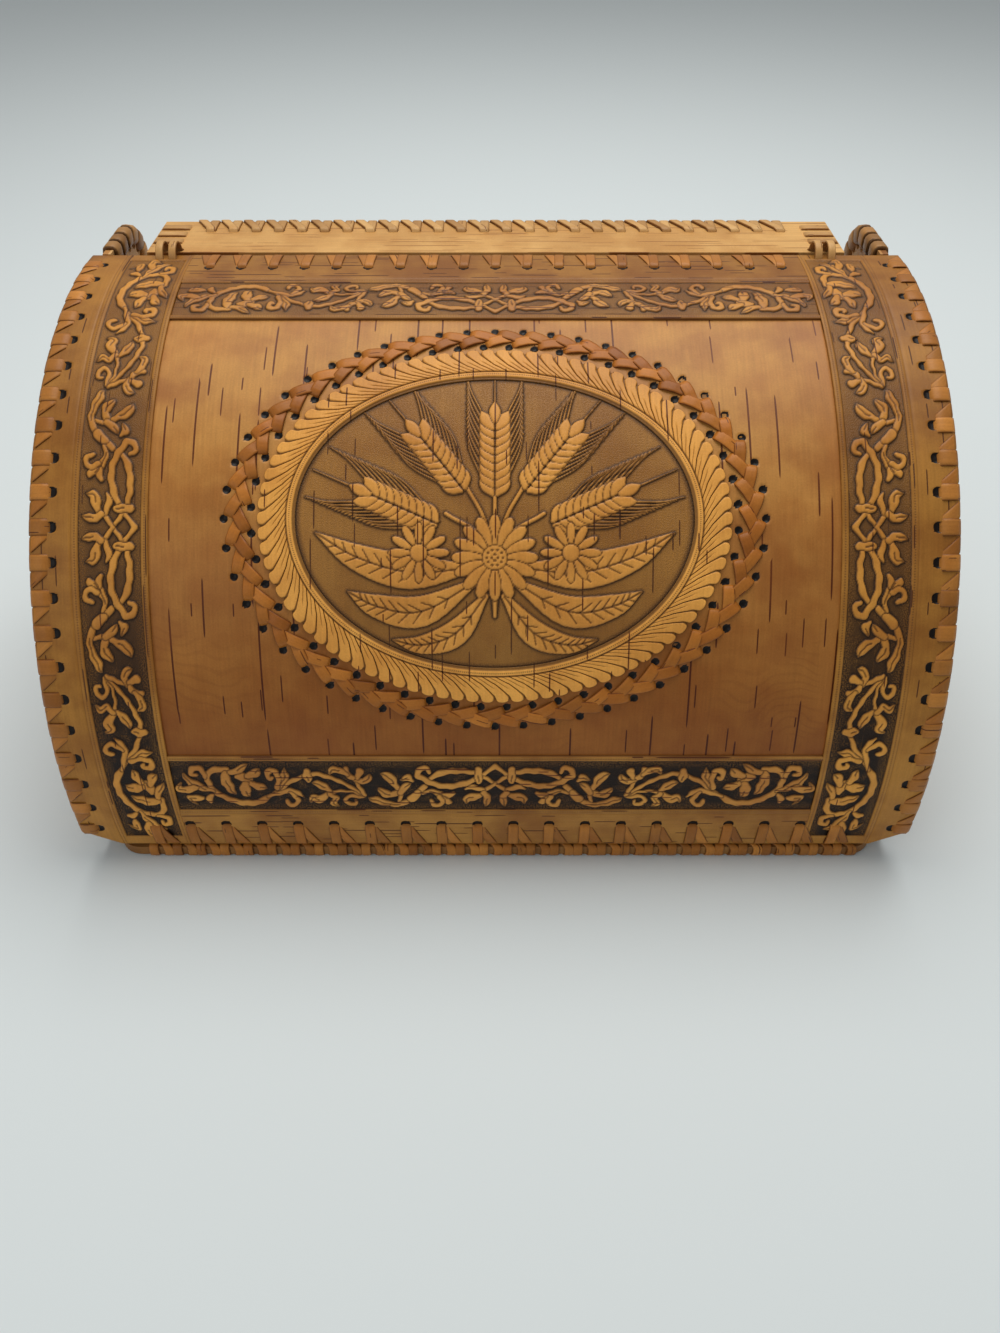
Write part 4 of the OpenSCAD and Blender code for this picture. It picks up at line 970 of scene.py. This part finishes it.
def veins(leaf_line):
    """Cuts on a leaf: its midrib, and pairs of veins that slant towards the tip."""
    line = smooth_line(leaf_line, 4)
    cuts = [[(x, y, .25) for x, y, _ in leaf_line]]
    for k in range(2, len(line) - 2):
        ahead = line[k + 1, :2] - line[k - 1, :2]
        ahead = ahead / np.linalg.norm(ahead)
        for way in (-1, 1):
            out = np.array([-ahead[1], ahead[0]]) * way
            tip = line[k, :2] + (ahead * 0.7 + out * 0.62) * line[k, 2]
            cuts.append([(*line[k, :2], .2), (*tip, .12)])
    return cuts


# One half of the bouquet, in millimetres from the oval's middle: (outwards, up, half width).
leaves = [[(8, -26, 1.5), (30, -38, 6.5), (48, -36, 5), (60, -30, .5)],
          [(8, -20, 1.5), (34, -22, 7), (56, -16, 5.5), (73, -6, .5)],
          [(4, -32, 1.5), (16, -47, 5.5), (30, -52, 4), (42, -50, .5)]]
leaf_cuts = [cut for leaf_line in leaves for cut in veins(leaf_line)]
bouquet = [[(0, -40, .9), (4, -10, .9), (20, 2, .9)], [(0, -40, .9), (3, -5, .9), (12, 14, .9)],
           [(0, -40, .9), (0, 10, .9)]]
bouquet += ear(24, -2, 66, 30, 2.1) + ear(13, 12, 38, 30, 2.1) + ear(0, 10, 0, 32, 2.1)
bouquet += daisy(31, -14, 12, 12) + daisy(0, -16, 17, 16)
centre_marks = [[(r * np.cos(a), -16 + r * np.sin(a), .4),
                 (r * np.cos(a) + .1, -16 + r * np.sin(a), .4)]
                for r, n in ((1.2, 4), (3.2, 10)) for a in np.arange(n) / n * 2 * np.pi]

# The picture's grid is a square drawn out to an ellipse, a little past the ring's inner edge.
columns, rows, over = 320, 244, 1.01
picture_ground, picture_depth = 0.2 * mm, 0.9 * mm
u, v = np.meshgrid(np.linspace(-1, 1, columns + 1), np.linspace(-1, 1, rows + 1))
picture_x = picture_w * over * u * np.sqrt(1 - v ** 2 / 2)
picture_y = picture_h * over * v * np.sqrt(1 - u ** 2 / 2)
half_x = np.abs(picture_x) / mm
foliage = carve(half_x, picture_y / mm, leaves, leaf_cuts)
picture_relief, picture_near = carve(half_x, picture_y / mm, bouquet, centre_marks,
                                     below=foliage)
edge = np.hypot(picture_x / picture_w, picture_y / picture_h)
picture_near = np.maximum(picture_near, ease(1 - (1 - edge) / 0.04))
picture_relief = picture_relief * ease((1 - edge) / 0.012)
picture_rise = picture_ground + picture_depth * picture_relief
picture_s = oval_s + picture_y
# Its line attribute keeps it clear of dots, and stains it as a band higher on the lid.
no_dot, dot_gap, stained_higher = 0.004, 0.01, 0.09
values = {"grain": at(picture_x, picture_s, 0),
          "tooling": at(picture_relief, 0, 0.2 + 0.8 * picture_near),
          "line": at(no_dot, dot_gap, picture_s + stained_higher)}
index = np.arange(u.size).reshape(u.shape)
half = columns // 2
left = np.concatenate([index[0, half::-1], index[1:, 0], index[-1, 1:half + 1]])
right = np.concatenate([index[0, half:], index[1:, -1], index[-1, -2:half - 1:-1]])
left_foot = u.size + np.arange(len(left))
right_foot = left_foot + len(right)
faces = np.concatenate([grid_faces(index), between(left, left_foot), between(right_foot, right),
                        between(left_foot, right_foot)])
flat_x, flat_s = picture_x.ravel(), picture_s.ravel()
places = np.concatenate([hood(flat_x, flat_s, picture_rise.ravel()),
                         hood(flat_x[left], flat_s[left], 0.0),
                         hood(flat_x[right], flat_s[right], 0.0)])
values = {key: np.concatenate([a.reshape(-1, 3), a.reshape(-1, 3)[left],
                               a.reshape(-1, 3)[right]]) for key, a in values.items()}
picture = new_piece("oval_picture", places, faces, values, material=medal_bark, body="lid",
                    slot="relief_bark", replaced=["medallion"])
# The two halves of its rim share their end points.
merged = bmesh.new()
merged.from_mesh(picture.data)
bmesh.ops.remove_doubles(merged, verts=merged.verts, dist=1e-7)
merged.to_mesh(picture.data)
merged.free()


# ---- Braid ----
# Orange strips laced through two rings of holes. From each hole a strip runs clockwise to the
# middle of the braid, over the last strip from the other ring and then under the next.

braid_bark = lace_material("braid_bark", srgb(204, 129, 50), srgb(178, 105, 35), srgb(98, 48, 14))
braid_w, braid_thick, braid_points = 5.1 * mm, 0.55 * mm, 11
t = np.linspace(0, 1, braid_points)
over_under = np.interp(t, [0, .1, .2, .5, .72, 1], [-.5, .2, .7, .8, .25, .05]) * mm
past_hole, turn_run = 0.1, 0.98
x, s = [], []
# For each ring of holes: where its strips start between the rings, as a share, how far they
# run from there, and where the holes lie round the braid, in steps.
for first_share, share_run, first_turn in ((0.845, -0.465, 0.0), (0.155, 0.465, -0.5)):
    angle = braid_turn[:, None] + braid_step * (first_turn - past_hole - turn_run * t)
    axes = braid_inner + (braid_outer - braid_inner) * (first_share + share_run * t)[:, None]
    x.append(axes[:, 0] * np.cos(angle))
    s.append(oval_s + axes[:, 1] * np.sin(angle))
x, s = np.concatenate(x), np.concatenate(s)
path = hood(x, s, over_under)
out = unit(hood(x, s, over_under + 1 * mm) - path)
ahead = np.gradient(path, axis=1)
across = unit(np.cross(out, ahead))
up = unit(np.cross(ahead, across))
strips("oval_braid", path, across, up, False, braid_w, braid_thick, 31, material=braid_bark,
       body="lid", slot="lace", replaced=["medallion_braid"])


# ---- Cheeks ----
# Half-round end pieces of the lid in brown bark, lined inside. Wide puffed strips wrap their
# free edges so closely that only dark gaps part them.

dress(bark("cheek_bark", srgb(176, 124, 68), srgb(142, 92, 48), pore_brown, "YZX",
           large=(0.014, 0.05, 0.0005, 0.018, 0.6)), "left_cheek", "right_cheek")
dress(bark("cheek_lining_bark", *inner_colours, "YZX"),
      "left_cheek_lining", "right_cheek_lining")
# Its dark last colour is also the painted shade in the gaps between the wraps.
dark_lace = lace_material("dark_lace", srgb(204, 152, 90), srgb(166, 116, 62), srgb(56, 32, 15))
cheek_low, cheek_high = (np.array(c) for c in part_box("right_cheek"))
cheek_in_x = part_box("right_cheek_lining")[0][0]
cheek_wall = cheek_high[0] - cheek_in_x
top_round, low_round = 20 * mm, 14 * mm
rim_reach, rim_pitch, rim_slack = 7 * mm, 9.6 * mm, 0.3 * mm
rim_width, rim_thick = 7.8 * mm, 1.7 * mm
hinge_gap, first_half, last_gap = 1.2 * mm, 4.4 * mm, 18.3 * mm


def rim_path():
    """Points round a cheek's free edge in (y, z), from the hinge over the top, round a quarter
    circle, down the back, round another and along the bottom, with the angle outwards."""
    top_start = band_high[1] + hinge_gap + first_half
    bottom_end = hood_y - np.sqrt(lid_in_r ** 2 - (hood_z - cheek_low[2]) ** 2) + last_gap
    a = np.linspace(np.pi / 2, 0, 40)
    b = np.linspace(0, -np.pi / 2, 40)
    y = np.concatenate([[top_start], cheek_high[1] - top_round * (1 - np.cos(a)),
                        cheek_high[1] - low_round * (1 - np.cos(b)), [bottom_end]])
    z = np.concatenate([[cheek_high[2]], cheek_high[2] - top_round * (1 - np.sin(a)),
                        cheek_low[2] + low_round * (1 + np.sin(b)), [cheek_low[2]]])
    way = np.concatenate([[np.pi / 2], a, b, [-np.pi / 2]])
    run = np.concatenate([[0], np.cumsum(np.hypot(np.diff(y), np.diff(z)))])
    count = int(run[-1] / rim_pitch) + 1
    even = (np.arange(count) + 0.5) * run[-1] / count
    return np.interp(even, run, y), np.interp(even, run, z), np.interp(even, run, way)


rim_y, rim_z, rim_way = rim_path()
rim_out, rim_up = wrap(rim_reach, cheek_wall, rim_slack)
outward = at(0, np.cos(rim_way), np.sin(rim_way))[:, None]
rim_along = at(0, -np.sin(rim_way), np.cos(rim_way))[:, None]
for name, way in sides:
    base = at(way * cheek_high[0], rim_y, rim_z)[:, None]
    path = base + (rim_out - rim_reach)[:, None] * outward + rim_up[:, None] * way * along_x
    loops(f"{name}_cheek_wraps", path, rim_along, width=rim_width, thick=rim_thick,
          seed=41 + way, material=dark_lace, body="lid", slot="dark_lace",
          replaced=[f"{name}_cheek_rim_lacing"])


# ---- Lacing of the lid ----
# Strips hold the cheeks under the lid's overhanging sides, one straight and one slanting from
# each hole. Others fork over the upper edge, and upright and slanting ones wrap the lower.

lid_fit = {"material": lace_bark, "body": "lid", "slot": "lace"}
lid_depth = frame_thick + smooth_r - lid_in_r
cheek_hole_rise = lid_in_r - 9.5 * mm - smooth_r
in_rise = lid_in_r - smooth_r
# A side loop as (x, rise): from its hole in the lid over the edge, back under it to the cheek,
# through the cheek's hole and up inside.
side_shape = np.array([
    (side_hole_x + 1.2 * mm, frame_thick - .8 * mm),
    (side_hole_x + 2 * mm, frame_thick + .15 * mm),
    (side_hole_x + 4 * mm, frame_thick + .3 * mm), (lid_x - 1 * mm, frame_thick + .2 * mm),
    (lid_x + .25 * mm, frame_thick - .6 * mm), (lid_x + .3 * mm, in_rise + 1 * mm),
    (lid_x - .8 * mm, in_rise - .6 * mm), (cheek_high[0] + .6 * mm, in_rise - 1.2 * mm),
    (cheek_high[0] + .2 * mm, in_rise - 3 * mm),
    (cheek_high[0] + .2 * mm, cheek_hole_rise + 1 * mm),
    (cheek_high[0] - 1 * mm, cheek_hole_rise), (cheek_in_x - .3 * mm, cheek_hole_rise + .6 * mm),
    (cheek_in_x - .5 * mm, in_rise - 2 * mm), (side_hole_x - .3 * mm, in_rise + 2 * mm)])
side_x, side_rise = side_shape.T
side_lean = np.clip((side_x - side_hole_x) / (lid_x - side_hole_x), -0.05, 1.05)
side_slant, side_width, side_thick = 7.4 * mm, 7.2 * mm, 0.5 * mm
side_turn = low_edge + side_places / frame_r
side_along = at(0, np.sin(side_turn), np.cos(side_turn))[:, None]
for name, way in sides:
    # The left side's strips slant down the lid, where the lowest would leave the sheet.
    first = 1 if way < 0 else 0
    slanting = hood(way * side_x, side_places[first:, None] + way * side_slant * side_lean,
                    side_rise - .25 * mm)
    straight = hood(way * side_x, side_places[:, None], side_rise)
    loops(f"lid_{name}_wraps", np.concatenate([slanting, straight]),
          np.concatenate([side_along[first:], side_along]), width=side_width, thick=side_thick,
          seed=51 + way, replaced=[f"lid_{name}_lacing"], **lid_fit)

out, up = wrap(top_reach, lid_depth)
forked = [hood(top_x[:, None] + lean * np.clip(out / top_reach, 0, 1.1), arc - top_reach + out,
               frame_thick + up + lift) for lean, lift in ((-4.4 * mm, 0), (.6 * mm, .15 * mm))]
loops("lid_upper_wraps", np.concatenate(forked), along_x, width=4.6 * mm, thick=0.5 * mm,
      seed=55, replaced=["lid_upper_lacing"], **lid_fit)

out, up = wrap(low_reach, lid_depth)
wrapped = [hood(low_x[:, None] + lean * np.clip(out / low_reach, 0, 1.1), low_reach - out,
                frame_thick + up + lift) for lean, lift in ((7 * mm, -.2 * mm), (0, .15 * mm))]
loops("lid_lower_wraps", np.concatenate(wrapped), along_x, width=5 * mm, thick=0.6 * mm,
      seed=57, replaced=["lid_lower_lacing"], **lid_fit)

# The end panels' curved rims lie under the lid, wrapped like its edges.
curve_r, curve_reach, curve_pitch, curve_slack = lid_in_r - 9.2 * mm, 7 * mm, 14 * mm, 0.35 * mm
curve_low = np.arcsin((base_high[2] + foot_rise + 4.4 * mm - hood_z) / curve_r)
curve_high = np.pi / 2 - np.arcsin((strip_low[1] - hood_y) / curve_r)
curve_count = int(((curve_high - curve_low) * curve_r - curve_pitch) / curve_pitch) + 1
curve_angle = (curve_low + curve_high) / 2 + row(curve_count, curve_pitch / curve_r)
out, up = wrap(curve_reach, wall, curve_slack)
radial = at(0, -np.cos(curve_angle), np.sin(curve_angle))[:, None]
curve_along = at(0, np.sin(curve_angle), np.cos(curve_angle))[:, None]
for name, way in sides:
    middle = np.array([way * body_x, hood_y, hood_z])
    path = middle + (curve_r - curve_reach + out)[:, None] * radial + up[:, None] * way * along_x
    loops(f"{name}_end_rim_wraps", path, curve_along, seed=61 + way,
          replaced=[f"{name}_end_rim_lacing"], **base_fit)


# ---- Stage ----
# A plain pale floor, one large soft light above and a little behind, a weaker one over the
# camera's left shoulder, and the camera where the photograph was taken from.

def stage_floor(side):
    """Flat square floor in one piece, which reaches side metres each way."""
    corners = [(-side, -side, 0), (side, -side, 0), (side, side, 0), (-side, side, 0)]
    mesh = bpy.data.meshes.new("floor")
    mesh.from_pydata(corners, [], [(0, 1, 2, 3)])
    material = bpy.data.materials.new("floor_paper")
    material.use_nodes = True
    shader = material.node_tree.nodes["Principled BSDF"]
    shader.inputs["Base Color"].default_value = srgb(221, 229, 230)
    shader.inputs["Roughness"].default_value = 0.9
    mesh.materials.append(material)
    floor = bpy.data.objects.new("floor", mesh)
    bpy.context.scene.collection.objects.link(floor)


def soft_light(name, place, aim, size, power, colour):
    """Square area light that points at aim."""
    data = bpy.data.lights.new(name, "AREA")
    data.size, data.energy, data.color = size, power, colour
    lamp = bpy.data.objects.new(name, data)
    way = np.subtract(place, aim)
    lamp.location = place
    lamp.rotation_euler = (np.arccos(way[2] / np.linalg.norm(way)), 0,
                           np.arctan2(way[0], -way[1]))
    bpy.context.scene.collection.objects.link(lamp)


stage_floor(9.0)
soft_light("window", (0.1, 0.42, 1.45), (0, 0, 0.1), 1.2, 17.8, (1.0, 0.98, 0.95))
soft_light("fill", (-0.9, -1.1, 0.9), (0, 0, 0.1), 1.0, 3.2, (1.0, 1.0, 1.0))
world = bpy.data.worlds.new("room")
world.use_nodes = True
room = world.node_tree
rays = put(room, "LightPath", {}).outputs
seen = calc(room, "MAXIMUM", rays["Is Camera Ray"], rays["Is Glossy Ray"])
seen = calc(room, "MAXIMUM", seen, rays["Is Transmission Ray"])
air = mix(room, seen, (0.98, 0.99, 1.0, 1), srgb(150, 154, 155))
strength = calc(room, "MULTIPLY_ADD", seen, 0.70, 0.30)
room.links.new(air, room.nodes["Background"].inputs["Color"])
room.links.new(strength, room.nodes["Background"].inputs["Strength"])
bpy.context.scene.world = world
bpy.context.scene.view_settings.view_transform = "Standard"

camera = bpy.data.objects.new("camera", bpy.data.cameras.new("camera"))
camera.data.lens, camera.data.sensor_width = 28.70, 36
camera.location = (0.0021, -0.4324, 0.3988)
camera.rotation_euler = (np.radians(90 - 41.703), 0, 0)
bpy.context.scene.collection.objects.link(camera)
bpy.context.scene.camera = camera
